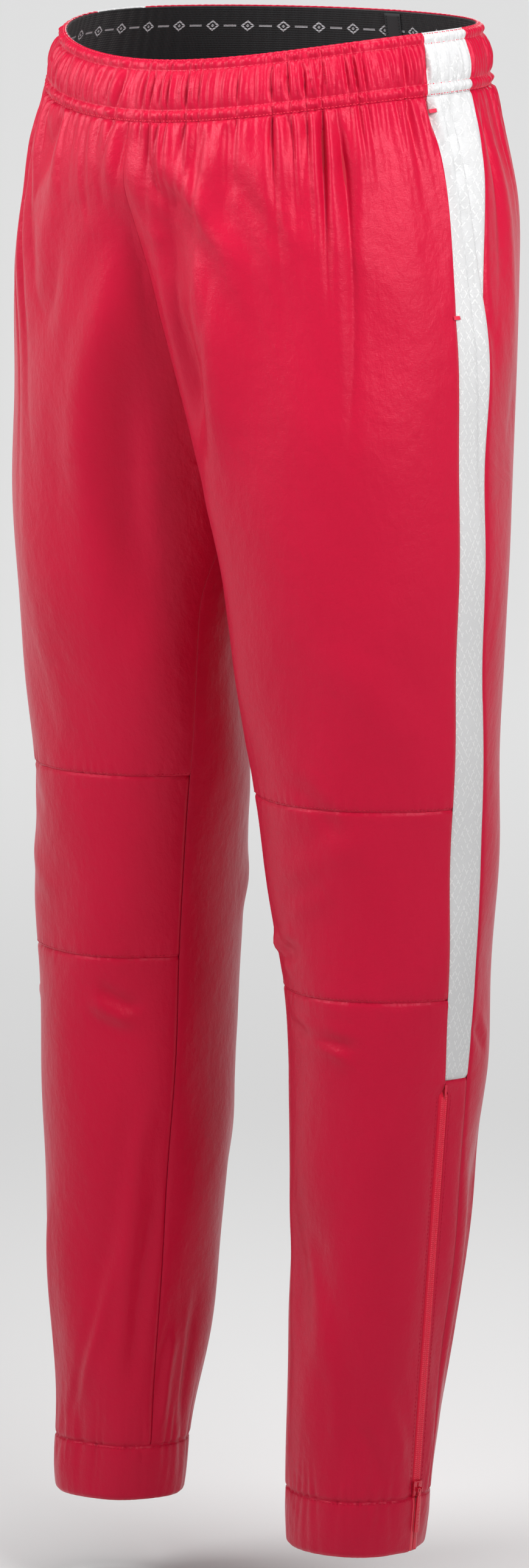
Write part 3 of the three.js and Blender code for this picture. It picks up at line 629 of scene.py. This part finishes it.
def stitch_row(shapes, path, pitch, share=0.66, width=0.3, height=0.32):
    """A row of stitches along a path, which gives points and outward directions for shares of its length.
    share is how much of each pitch is thread."""
    dense = np.linspace(0, 1, 3000)
    run = np.concatenate([[0], np.cumsum(np.linalg.norm(np.diff(path(dense)[0], axis=0), axis=1))])
    at = (np.arange(int(run[-1] / pitch)) + 0.5) * pitch
    low, normal = path(np.interp(at - pitch * share / 2, run, dense))
    high, _ = path(np.interp(at + pitch * share / 2, run, dense))
    beads(shapes, low, high, normal, width, height)


# ---- Materials ----
class Nodes:
    """Builds a material's node tree."""

    def __init__(self, name):
        self.material = bpy.data.materials.new(name)
        self.material.use_nodes = True
        self.tree = self.material.node_tree
        self.shader = self.tree.nodes["Principled BSDF"]
        self.place = self.new("ShaderNodeTexCoord")

    def new(self, kind, **settings):
        node = self.tree.nodes.new(kind)
        for key, value in settings.items():
            setattr(node, key, value)
        return node

    def link(self, source, target):
        self.tree.links.new(source, target)

    def math(self, kind, *values):
        node = self.new("ShaderNodeMath", operation=kind)
        for socket, value in zip(node.inputs, values):
            if isinstance(value, (int, float)):
                socket.default_value = value
            else:
                self.link(value, socket)
        return node.outputs[0]

    def add(self, a, b):
        return self.math("ADD", a, b)

    def sub(self, a, b):
        return self.math("SUBTRACT", a, b)

    def mul(self, a, b):
        return self.math("MULTIPLY", a, b)

    def scaled(self, scale, source="UV"):
        node = self.new("ShaderNodeMapping")
        self.link(self.place.outputs[source], node.inputs["Vector"])
        node.inputs["Scale"].default_value = scale
        return node.outputs[0]

    def noise(self, scale, detail=2.0, source="UV", roughness=0.5):
        node = self.new("ShaderNodeTexNoise")
        self.link(self.scaled(scale, source), node.inputs["Vector"])
        node.inputs["Scale"].default_value = 1.0
        node.inputs["Detail"].default_value = detail
        node.inputs["Roughness"].default_value = roughness
        return node.outputs["Fac"]

    def mix(self, share, low, high):
        node = self.new("ShaderNodeMix", data_type="RGBA")
        self.link(share, node.inputs[0])
        node.inputs[6].default_value = (*low, 1)
        node.inputs[7].default_value = (*high, 1)
        return node.outputs[2]

    def spread(self, value, low, high):
        node = self.new("ShaderNodeMapRange")
        self.link(value, node.inputs["Value"])
        node.inputs["To Min"].default_value = low
        node.inputs["To Max"].default_value = high
        return node.outputs[0]

    def bump(self, height, distance, strength=1.0):
        node = self.new("ShaderNodeBump")
        node.inputs["Distance"].default_value = distance
        node.inputs["Strength"].default_value = strength
        self.link(height, node.inputs["Height"])
        self.link(node.outputs[0], self.shader.inputs["Normal"])

    def planar(self):
        """The two directions along the cloth, in metres."""
        split = self.new("ShaderNodeSeparateXYZ")
        self.link(self.place.outputs["UV"], split.inputs[0])
        return split.outputs[0], split.outputs[1]

    def within(self, value, centre, half):
        """1 where the value is less than half away from the centre."""
        return self.math("LESS_THAN", self.math("ABSOLUTE", self.sub(value, centre)), half)

    def random(self, value):
        node = self.new("ShaderNodeTexWhiteNoise", noise_dimensions="1D")
        self.link(value, node.inputs["W"])
        return node.outputs["Value"]

    def set(self, **values):
        for key, value in values.items():
            self.shader.inputs[key.replace("_", " ")].default_value = value


def cloth_red(name, low, high, rough, tint, source="UV", sheen=0.08):
    """Shiny woven polyester: fine slubs along the weft, and a colour that varies a little."""
    m = Nodes(name)
    m.set(Specular_Tint=(*tint, 1), Sheen_Weight=sheen, Sheen_Roughness=0.35, Sheen_Tint=(1, 0.35, 0.42, 1))
    m.set(Specular_IOR_Level=0.55)
    weft = m.noise((260, 2600, 260), 3, source, 0.65)
    cloudy = m.noise((22, 14, 22), 3, source)
    m.link(m.mix(cloudy, low, high), m.shader.inputs["Base Color"])
    m.link(m.spread(weft, rough - 0.1, rough + 0.12), m.shader.inputs["Roughness"])
    crinkle = m.noise((90, 55, 90), 4, source, 0.6)
    m.bump(m.add(m.mul(weft, 0.13), m.mul(crinkle, 1.0)), 0.0011)
    return m.material


DASHES, DASH_LINES = 215.0, 225.0  # of the stripe's print, per metre along a line and across the lines


def stripe_white():
    """White cloth with a tone-on-tone print of short dashes that cross on two slants."""
    m = Nodes("stripe_white")
    m.set(Specular_IOR_Level=0.35, Sheen_Weight=0.1, Roughness=0.62)
    u, v = m.planar()
    total = None
    for slant, seed in ((62, 3.1), (-62, 7.7)):
        c, s = math.cos(math.radians(slant)), math.sin(math.radians(slant))
        along = m.mul(m.add(m.mul(u, c), m.mul(v, s)), DASHES)
        across = m.mul(m.sub(m.mul(v, c), m.mul(u, s)), DASH_LINES)
        line = m.math("FLOOR", across)
        shifted = m.add(along, m.mul(m.random(m.add(line, seed)), 5.0))
        dash = m.math("FLOOR", shifted)
        drop = m.random(m.add(m.mul(line, 13.7), m.add(dash, seed)))
        thin = m.within(m.math("FRACT", across), 0.5, 0.085)
        short = m.within(m.math("FRACT", shifted), 0.5, 0.36)
        mark = m.mul(m.mul(thin, short), m.math("GREATER_THAN", drop, 0.3))
        total = mark if total is None else m.math("MAXIMUM", total, mark)
    m.link(m.mix(total, (0.60, 0.60, 0.605), (0.73, 0.73, 0.73)), m.shader.inputs["Base Color"])
    weave = m.noise((500, 2200, 500), 2)
    crinkle = m.noise((70, 30, 70), 4)
    height = m.add(m.mul(weave, 0.25), m.mul(crinkle, 1.0))
    m.bump(m.add(height, m.mul(total, 0.15)), 0.0009)
    return m.material


MOTIF_PITCH = 0.026  # metres from one diamond to the next


def elastic_black():
    """Ribbed black elastic with a row of plain diamonds and bars woven into it."""
    m = Nodes("elastic_black")
    m.set(Roughness=0.82, Specular_IOR_Level=0.25, Sheen_Weight=0.12, Sheen_Roughness=0.5)
    u, v = m.planar()
    middle = m.math("ABSOLUTE", m.sub(v, (WAIST_SEAM + 27) * MM))
    cell = m.math("ABSOLUTE", m.sub(m.math("FRACT", m.mul(u, 1 / MOTIF_PITCH)), 0.5))
    reach = m.add(m.mul(cell, MOTIF_PITCH), m.mul(middle, 1.3))
    diamond = m.within(reach, 0.0042, 0.0009)
    core = m.math("LESS_THAN", reach, 0.0014)
    bar = m.mul(m.math("GREATER_THAN", cell, 0.32), m.math("LESS_THAN", middle, 0.0006))
    mark = m.math("MAXIMUM", m.math("MAXIMUM", diamond, core), bar)
    m.link(m.mix(mark, (0.009, 0.009, 0.010), (0.42, 0.42, 0.44)), m.shader.inputs["Base Color"])
    rib = m.math("SINE", m.mul(v, 2 * math.pi / 0.0016))
    knit = m.math("SINE", m.mul(u, 2 * math.pi / 0.0011))
    m.bump(m.add(rib, m.mul(knit, 0.5)), 0.00022)
    return m.material


def plastic(name, low, high, rough, grain, coat=0.0, metal=0.0):
    """Smooth red plastic, varnish or paint with faint scuffs."""
    m = Nodes(name)
    m.set(Specular_IOR_Level=0.5, Coat_Weight=coat, Coat_Roughness=0.12, Metallic=metal)
    scuffs = m.noise((grain, grain, grain), 4, "Object", 0.6)
    m.link(m.mix(scuffs, low, high), m.shader.inputs["Base Color"])
    m.link(m.spread(scuffs, rough - 0.06, rough + 0.1), m.shader.inputs["Roughness"])
    m.bump(scuffs, 0.00008)
    return m.material


RED = cloth_red("satin_red", (0.485, 0.0036, 0.030), (0.555, 0.0048, 0.038), 0.34, (1.0, 0.30, 0.38))
LINING = cloth_red("lining_red", (0.40, 0.006, 0.022), (0.48, 0.009, 0.03), 0.7, (1.0, 0.5, 0.55), sheen=0.0)
# The thread is painted a lighter pinkish red than the cloth. This is a painted highlight for the light that
# its raised stitches catch.
THREAD_PAINTED_HIGHLIGHT = cloth_red("thread_red_painted_highlight", (0.72, 0.02, 0.06), (0.85, 0.05, 0.10), 0.45, (1.0, 0.5, 0.55), "Object")
TAPE = cloth_red("tape_red", (0.62, 0.004, 0.03), (0.74, 0.006, 0.04), 0.5, (1.0, 0.4, 0.45))
COIL = plastic("coil_red", (0.78, 0.008, 0.045), (0.92, 0.02, 0.07), 0.28, 900, 0.3)
PAINT = plastic("slider_red", (0.55, 0.005, 0.03), (0.66, 0.01, 0.04), 0.25, 700, 0.6, 0.2)
GLOSS = plastic("gloss_red", (0.62, 0.004, 0.03), (0.74, 0.008, 0.04), 0.2, 500, 0.5)
WHITE = stripe_white()
BLACK = elastic_black()
PATCH = plastic("patch_black", (0.010, 0.010, 0.011), (0.02, 0.02, 0.022), 0.75, 1500)


def dress(obj, material, slot, *nodes, body=BODY):
    """Gives a piece its material and the body it rides on, and hides the CAD nodes that it stands for. The
    slot is not used.
    """
    obj.data.materials.append(material)
    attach(obj, body)
    if nodes:
        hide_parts(*nodes)
    return obj


# ---- Leg panels ----
def mouth(height):
    """1 along the pocket's opening, 0 at its two ends and beyond."""
    share = np.clip((height - POCKET_LOW) / (POCKET_TOP - POCKET_LOW), 0, 1)
    return np.sin(np.pi * share) ** 0.7


def mouth_edge(height, arc, back):
    """The front panel's turned edge stands off the stripe along the pocket's opening."""
    return mouth(height) * (2.4 * np.exp(-((arc / 8) ** 2)) - roll(arc))


def tucked_edge(height, arc, back):
    """The stripe runs in behind the front panel there."""
    return -mouth(height) * 2.2 * np.exp(-((back / 6) ** 2))


def inner_front(height):
    return inner_edge(height, "front")


def inner_back(height):
    return inner_edge(height, "back")


def round_to(edge):
    """The same edge, reached by way of the back."""
    return lambda height: 360 + edge(height)


def slit_edge(forward):
    """The cuff's edges spread apart a little towards the hem."""
    return lambda height: beside_zip(height, forward * (1 + 0.25 * (1 - height / CUFF)))


RED_CLOTH = (RED, "satin_cloth")
WHITE_CLOTH = (WHITE, "stripe_cloth")
for side in LEGS:
    leg = {
        "thigh_front": dict(
            low=KNEE_HIGH, high=WAIST_SEAM, start=stripe_front, end=inner_front, fineness=(3.0, 1.7),
            depths=(1, 0.3, 1, 0.2), extra=mouth_edge,
        ),
        "knee_panel": dict(low=KNEE_LOW, high=KNEE_HIGH, start=front_edge, end=inseam),
        "shin_panel": dict(
            low=CUFF, high=KNEE_LOW, start=shin_front, end=inseam, fineness=(3.0, 2.0), depths=(0.2, 1, 1, 1),
        ),
        "back_panel": dict(
            low=CUFF, high=WAIST_SEAM, start=inner_back, end=round_to(back_seam), fineness=(3.4, 2.0),
            depths=(0.3, 1, 1, 0.2),
        ),
        "side_stripe": dict(
            low=STRIPE_END, high=WAIST_SEAM, start=back_seam, end=lambda h: front_edge(h) + 2.6 * mouth(h),
            fineness=(2.6, 1.8), depths=(1, 1, 1, 0.2), extra=tucked_edge,
        ),
        "lower_side_panel": dict(
            low=CUFF, high=STRIPE_END, start=back_seam, end=lower_front, fineness=(2.6, 1.8),
            depths=(1, 0.2, 1, 1),
        ),
        "cuff_band": dict(
            low=0.0, high=CUFF, start=slit_edge(1.2), end=round_to(slit_edge(-1.2)), fineness=(1.8, 1.9),
            depths=(0.4, 0.4, 1.6, 1), thickness=1.6,
        ),
    }
    for node, shape in leg.items():
        cloth = WHITE_CLOTH if node == "side_stripe" else RED_CLOTH
        dress(panel(f"{node}_cloth_{side}", side, **shape), *cloth, f"{node}_{side}")

# ---- Waistband ----
waist = [
    ("waistband_front", stripe_front, lambda h: 180 - stripe_front(h), RED_CLOTH),
    ("waistband_back", lambda h: 180 - stripe_back(h), round_to(stripe_back), RED_CLOTH),
    ("waistband_insert_left", stripe_back, stripe_front, WHITE_CLOTH),
    ("waistband_insert_right", lambda h: 180 - stripe_front(h), lambda h: 180 - stripe_back(h), WHITE_CLOTH),
]
for node, start, end, cloth in waist:
    obj = panel(
        f"{node}_cloth", "band", WAIST_SEAM, WAIST_TOP, start, end,
        (1.5, 1.15), 0.9, (0.8, 0.8, 0.2, 1.4), on_band,
    )
    dress(obj, *cloth, node)


def elastic_ring():
    heights = np.linspace(WAIST_SEAM + 2, WAIST_TOP - 1.4, 24)
    angles = np.arange(0, 360, 0.75)
    height, angle = np.meshgrid(heights, angles, indexing="ij")
    ripple = 0.35 * waves(angle, height, 96, 12, 1.4)
    outer = on_band(height, angle, -3.1 + ripple)
    inner = on_band(height, angle, -4.4 + ripple)
    radius = 148  # of a circle about as long as the ring
    obj = layered("waist_elastic_band", outer, inner, (np.radians(angle) * radius, height), ring=True)
    return obj


dress(elastic_ring(), BLACK, "waist_elastic", "waist_elastic")


def join_cover():
    """The elastic's two ends overlap at the centre back under a patch with zigzag stitching."""
    heights = np.linspace(WAIST_SEAM + 4, WAIST_TOP - 3, 16)
    half = 2.7
    angles = np.linspace(270 - half, 270 + half, 9)
    height, angle = np.meshgrid(heights, angles, indexing="ij")
    outer = on_band(height, angle, -4.7)
    inner = on_band(height, angle, -5.3 + 0.25 * np.cos((angle - 270) / half * math.pi / 2))
    obj = layered("elastic_join_patch", outer, inner, (0 * angle, 0 * height))
    dress(obj, PATCH, "waist_elastic", "elastic_join_cover")
    shapes = Shapes()
    corners = 34
    for edge in (-2.2, 2.2):
        at = np.linspace(WAIST_SEAM + 5, WAIST_TOP - 4, corners)
        turn = 270 + edge + 0.28 * np.where(np.arange(corners) % 2 == 0, 1, -1)
        points = on_band(at, turn, -5.45)
        inward = np.array([[0.0, -1.0, 0.0]]).repeat(corners - 1, 0)
        beads(shapes, points[:-1], points[1:], inward, 0.22, 0.22, 5)
    dress(shapes.make("elastic_join_stitching"), PATCH, "waist_elastic")


join_cover()


# ---- Pocket bags ----
def pocket_bag(side):
    """A flat bag between the stripe's edge and the thigh, with some slack in its inner side."""
    low = height_of(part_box(f"pocket_bag_{side}")[0].z) + 3
    high = POCKET_TOP - 4
    heights = np.linspace(low, high, 50)
    share = np.linspace(0, 1, 36)
    height, across = np.meshgrid(heights, share, indexing="ij")
    reach = 50 - 12 * ramp(height, low + 60, low) - 8 * ramp(height, high - 30, high)
    angle = stripe_front(height) + 2 + (reach - stripe_front(height) - 2) * across
    up = (height - low) / (high - low)
    belly = (np.clip(4 * across * (1 - across), 0, 1) * np.clip(4 * up * (1 - up), 0, 1)) ** 0.45
    crease = 0.7 * np.sin(across * 17 + up * 5) * belly
    outer = on_leg(height, angle, -4.2 - 0.3 * belly)
    inner = on_leg(height, angle, -4.6 - 8 * belly - crease)
    obj = layered(f"pocket_lining_{side}", outer, inner, (across * 75, height), side)
    return dress(obj, LINING, "pocket_lining", f"pocket_bag_{side}")


for side in LEGS:
    pocket_bag(side)


# ---- Bartacks and stitching ----
def bartack(side, where, height):
    """A dense level block of short stitches at one end of the pocket's opening."""
    shapes = Shapes()
    angle = float(stripe_front(height))
    half = 4 * math.degrees(1 / 150)
    for k in range(9):
        level = height + (k / 8 - 0.5) * 2.2
        (low, normal), (high, _) = (surface(level, angle + turn * half, side, lift=0.35) for turn in (-1, 1))
        beads(shapes, low[None], high[None], normal[None], 0.24, 0.5)
    obj = shapes.make(f"pocket_bartack_{where}_stitches_{side}", side)
    dress(obj, THREAD_PAINTED_HIGHLIGHT, "thread", f"pocket_bartack_{where}_{side}")


for side in LEGS:
    bartack(side, "top", POCKET_TOP)
    bartack(side, "low", POCKET_LOW)


def seam_path(side, height, start, end, lift, place=on_leg):
    """A level path round the cloth between two angles."""
    def path(u):
        return surface(np.full(np.shape(u), height), start + (end - start) * np.asarray(u), side, place, lift)
    return path


band_stitches = Shapes()
for row in ROWS:
    lift = -0.5 if row == ROWS[-1] else 0.1
    stitch_row(band_stitches, seam_path("band", WAIST_SEAM + row, 0, 360, lift, on_band), 2.6)
dress(band_stitches.make("waistband_stitching"), THREAD_PAINTED_HIGHLIGHT, "thread")

for side in LEGS:
    knee = Shapes()
    for height in (KNEE_LOW + 1.7, KNEE_HIGH + 1.7):
        start = float(front_edge(height)) + 0.8
        stitch_row(knee, seam_path(side, height, start, 179.0, -0.15), 2.8, 0.62, 0.24, 0.26)
    dress(knee.make(f"knee_stitching_{side}", side), RED, "thread")
    cuff = Shapes()
    start = float(beside_zip(CUFF, 5.0))
    end = 360 + float(beside_zip(CUFF, -5.0))
    stitch_row(cuff, seam_path(side, CUFF - 1.8, start, end, -0.12), 2.8, 0.62, 0.22, 0.22)
    dress(cuff.make(f"cuff_stitching_{side}", side), RED, "thread")

# ---- Ankle zips ----
zip_run = float(np.linalg.norm(zip_head - zip_foot))
ZIP_SIDES = (("front", 1), ("back", -1))


def zip_point(up, forward, out):
    """A point in the zip's own frame, measured from the outer face of the cloth at the cuff seam."""
    up, forward, out = (np.asarray(v, float)[..., None] for v in np.broadcast_arrays(up, forward, out))
    return zip_foot + up * zip_along + forward * zip_forward + (out - ZIP_FACE) * zip_out


def zip_beads(shapes, ups, near, far, width, height):
    """Level bars at each distance up the zip, from one (forward, out, up) to another."""
    ends = [zip_point(ups + end[2], end[0], end[1]) for end in (near, far)]
    beads(shapes, *ends, np.repeat(zip_out[None], len(ups), 0), width, height)


def zip_tape(where, side, sign):
    """The tape, which runs under the cloth either side and above the zip's top."""
    across = sign * (np.array([0, 0.12, 0.24, 0.34, 0.42, 0.52, 0.7, 1.0]) * 7.88 + 0.12)
    up, forward = np.meshgrid(np.linspace(0, zip_run + 9, 96), across[::sign], indexing="ij")
    face = -1.25 - 2.2 * ramp(np.abs(forward), 3.2, 4.6) - 1.9 * ramp(up, zip_run, zip_run + 3)
    outer, inner = (zip_point(up, forward, out) for out in (face, face - 0.5))
    obj = layered(f"zip_tape_{where}_cloth_{side}", outer, inner, (forward, up), side)
    dress(obj, TAPE, "zip_tape", f"zip_tape_{where}_{side}")


def coil_turns(where, side, sign):
    """The turns of the coil, seen through the tape, and the row where the two halves lock."""
    shapes = Shapes()
    pitch = 1.45
    ups = np.arange(0.6, zip_run - 0.4, pitch) + (0 if sign > 0 else pitch / 2)
    zip_beads(shapes, ups, (sign * -0.12, -1.26, 0), (sign * 0.95, -1.3, 0), 0.5, 0.18)
    zip_beads(shapes, ups, (sign * 1.1, -1.28, 0), (sign * 3.0, -1.3, 0.2), 0.44, 0.16)
    dress(shapes.make(f"zip_turns_{where}_{side}", side), COIL, "zip_coil", f"zip_coil_{where}_{side}")


def beside_path(side, sign):
    """Up the cloth just beside the zip."""
    def path(u):
        height = CUFF + 3 + (ZIP_TOP - CUFF - 2) * np.asarray(u)
        return surface(height, beside_zip(height, sign * (ZIP_EDGE + 2.2)), side, lift=0.05)
    return path


for side in LEGS:
    edges = Shapes()
    for where, sign in ZIP_SIDES:
        zip_tape(where, side, sign)
        coil_turns(where, side, sign)
        stitch_row(edges, beside_path(side, sign), 3.0, 0.66, 0.24, 0.25)
    stop = Shapes()
    zip_beads(stop, zip_run + np.linspace(-0.5, 7.5, 17), (-1.25, -0.35, 0), (1.25, -0.35, 0), 0.3, 0.55)
    dress(stop.make(f"zip_top_bartack_{side}", side), THREAD_PAINTED_HIGHLIGHT, "thread", f"zip_top_stop_{side}")
    dress(edges.make(f"zip_edge_stitching_{side}", side), RED, "thread")


def slit_binding(side, where, sign):
    """A glossy folded tape over the cuff's edge beside the slit."""
    heights = np.linspace(1.2, CUFF - 0.4, 24)
    turns = np.linspace(0, 2 * np.pi, 15)[:-1]
    spread = 1 + 0.25 * (1 - heights / CUFF)
    angle = beside_zip(heights, sign * 1.2 * spread + sign * 1.0)
    centre, normal = surface(heights, angle, side, lift=-0.9)
    across, out = 1.7 * np.cos(turns)[:, None], 1.35 * np.sin(turns)[:, None]
    ring = centre[:, None] + zip_forward * across + normal[:, None] * out
    faces = tube_faces(len(heights), len(turns))
    obj = make_object(f"slit_binding_{where}_tape_{side}", ring.reshape(-1, 3), faces, None, side)
    dress(obj, GLOSS, "glossy_binding", f"slit_binding_{where}_{side}")


PIN_OUT = 2.0  # the pull's pin, out from the cloth's face and up from the zip's foot
PIN_UP = 4.95


def slab(shapes, outline, low, high, bevel):
    """A flat rounded body with the given (forward, up) outline, between two distances out of the leg."""
    outline = np.asarray(outline, float)
    middle = outline.mean(0)
    inward = unit(middle - outline)
    rings = []
    for out, inset in ((low, bevel), (low + bevel * 0.3, bevel * 0.3), (low + bevel, 0), (high - bevel, 0),
                       (high - bevel * 0.3, bevel * 0.3), (high, bevel)):
        edge = outline + inward * inset
        rings.append(zip_point(edge[:, 1], edge[:, 0], out))
    shapes.add(np.concatenate(rings), tube_faces(len(rings), len(outline)))


def rounded(half, low, high, corner, top=None, count=8):
    """A rounded outline in (forward, up): half wide at the foot and top wide at the head."""
    top = half if top is None else top
    points = []
    for cx, cy, first in ((half - corner, low + corner, -90), (top - corner, high - corner, 0),
                          (-top + corner, high - corner, 90), (-half + corner, low + corner, 180)):
        for k in range(count + 1):
            t = math.radians(first + 90 * k / count)
            points.append((cx + corner * math.cos(t), cy + corner * math.sin(t)))
    return points


def pull_tab(side):
    """A long moulded tab that hangs from a round eye on the slider's pin."""
    shapes = Shapes()
    slab(shapes, rounded(2.25, PIN_UP - 31, PIN_UP - 4.2, 1.6, 1.7), PIN_OUT - 0.72, PIN_OUT + 0.72, 0.45)
    slab(shapes, rounded(0.85, PIN_UP - 5.4, PIN_UP - 0.6, 0.3), PIN_OUT - 0.6, PIN_OUT + 0.6, 0.25)
    slab(shapes, rounded(1.35, PIN_UP - 28.8, PIN_UP - 9, 1.0, 1.0), PIN_OUT + 0.5, PIN_OUT + 0.95, 0.3)
    for k in range(6):
        up = PIN_UP - 12.5 - 2.6 * k
        low, high = (zip_point([up], [forward], [PIN_OUT + 0.95]) for forward in (-0.95, 0.95))
        beads(shapes, low, high, zip_out[None], 0.4, 0.3, 8)
    rows, columns = 20, 8
    eye = []
    for i in range(rows):
        t = 2 * math.pi * i / rows
        for j in range(columns):
            s = 2 * math.pi * j / columns
            radius = 1.28 + 0.3 * math.cos(s)
            up, out = PIN_UP + radius * math.sin(t), PIN_OUT + radius * math.cos(t)
            eye.append(zip_point(up, 0.8 * math.sin(s), out))
    shapes.add(np.array(eye), tube_faces(rows, columns, ring=True))
    obj = shapes.make(f"zip_pull_tab_{side}", side)
    dress(obj, GLOSS, "glossy_pull", f"zip_pull_{side}", body=f"{side}_pull")


def slider_cap(side):
    """The slider's domed upper plate and the bridge that holds the pin."""
    shapes = Shapes()
    slab(shapes, rounded(3.2, 0.1, 10.9, 1.4, 4.0), -0.2, 0.55, 0.35)
    slab(shapes, rounded(0.55, PIN_UP + 1.9, PIN_UP + 5.0, 0.4), 0.2, 1.6, 0.3)
    for sign in (1, -1):
        outline = [(sign * 1.75 + x, y) for x, y in rounded(0.5, PIN_UP - 1.6, PIN_UP + 1.6, 0.45)]
        slab(shapes, outline, 0.2, PIN_OUT + 1.2, 0.25)
    dress(shapes.make(f"zip_slider_cap_{side}", side), PAINT, "slider_metal", body=f"{side}_slider")


for side in LEGS:
    for where, sign in ZIP_SIDES:
        slit_binding(side, where, sign)
    pull_tab(side)
    slider_cap(side)
    for finish in bpy.data.objects[f"zip_slider_{side}"].material_slots:
        finish.material = PAINT


# ---- Stage, lights and camera ----
def make_stage():
    """A pale floor with painted shade: greyer near the garment, where its shade falls, which also makes it
    throw less light up.
    """
    bpy.ops.mesh.primitive_plane_add(size=40, location=(0, 0, hem_z - 0.07))
    floor = bpy.context.object
    floor.name = "floor"
    m = Nodes("floor_pale_painted_shade")
    m.set(Roughness=0.95, Specular_IOR_Level=0.1)
    length = m.new("ShaderNodeVectorMath", operation="LENGTH")
    m.link(m.place.outputs["Object"], length.inputs[0])
    far = m.new("ShaderNodeMapRange", interpolation_type="SMOOTHSTEP")
    m.link(length.outputs["Value"], far.inputs["Value"])
    far.inputs["From Min"].default_value = 0.2
    far.inputs["From Max"].default_value = 4.5
    # painted shade: grey 0.66 within 0.2 m of the middle, fading to white 4.5 m out
    m.link(m.mix(far.outputs[0], (0.66, 0.66, 0.66), (1.0, 1.0, 1.0)), m.shader.inputs["Base Color"])
    floor.data.materials.append(m.material)


LIGHT_HEIGHT = 1.7


def area_light(name, azimuth, distance, aim, size, power):
    """A soft box in the given direction, measured like the camera's, that faces a height on the garment."""
    light = bpy.data.lights.new(name, "AREA")
    light.shape = "RECTANGLE"
    light.size, light.size_y = size
    light.energy = power
    lamp = bpy.data.objects.new(name, light)
    bpy.context.scene.collection.objects.link(lamp)
    turn = math.radians(azimuth)
    lamp.location = (distance * math.sin(turn), -distance * math.cos(turn), hem_z + LIGHT_HEIGHT)
    target = Vector((0, 0, hem_z + aim))
    lamp.rotation_euler = (target - lamp.location).to_track_quat("-Z", "Y").to_euler()
    lamp.visible_camera = False
    light.spread = math.radians(100)


def make_lights():
    """Two soft boxes in front, a weaker one behind, a broad light above and a pale surround."""
    world = bpy.data.worlds.new("studio")
    bpy.context.scene.world = world
    world.use_nodes = True
    nodes, links = world.node_tree.nodes, world.node_tree.links
    direction = nodes.new("ShaderNodeSeparateXYZ")
    links.new(nodes.new("ShaderNodeTexCoord").outputs["Generated"], direction.inputs[0])
    paling = nodes.new("ShaderNodeMapRange")
    paling.interpolation_type = "SMOOTHSTEP"
    for key, value in (("From Min", 0.08), ("From Max", 0.36), ("To Min", 0.72), ("To Max", 0.05)):
        paling.inputs[key].default_value = value
    links.new(direction.outputs[2], paling.inputs["Value"])
    nodes["Background"].inputs["Color"].default_value = (1, 1, 1, 1)
    links.new(paling.outputs[0], nodes["Background"].inputs["Strength"])
    area_light("key", -30, 1.45, 0.99, (0.9, 0.6), 7.5)
    area_light("side", 76, 1.45, 0.97, (0.7, 0.6), 7.5)
    area_light("back", 215, 2.0, 0.7, (1.2, 1.0), 3.5)
    sun = bpy.data.lights.new("overhead", "SUN")
    sun.energy = 2.1
    sun.angle = math.radians(25)
    bpy.context.scene.collection.objects.link(bpy.data.objects.new("overhead", sun))


# the camera, in metres above the hem and to the right of the middle, as fitted to the photograph's outline
CAMERA_TURN = math.radians(45.6)
CAMERA_DISTANCE = 5.857
CAMERA_HEIGHT = 1.435
AIM_HEIGHT = 0.520
AIM_RIGHT = 0.0153
LENS = 195.4


def make_camera():
    data = bpy.data.cameras.new("camera")
    data.lens = LENS
    data.sensor_width = 36
    data.clip_end = 100
    camera = bpy.data.objects.new("camera", data)
    bpy.context.scene.collection.objects.link(camera)
    right = (math.cos(CAMERA_TURN), math.sin(CAMERA_TURN))
    camera.location = (CAMERA_DISTANCE * right[1], -CAMERA_DISTANCE * right[0], hem_z + CAMERA_HEIGHT)
    aim = Vector((AIM_RIGHT * right[0], AIM_RIGHT * right[1], hem_z + AIM_HEIGHT))
    camera.rotation_euler = (aim - camera.location).to_track_quat("-Z", "Y").to_euler()
    bpy.context.scene.camera = camera


make_stage()
make_lights()
make_camera()
bpy.context.scene.view_settings.view_transform = "Standard"
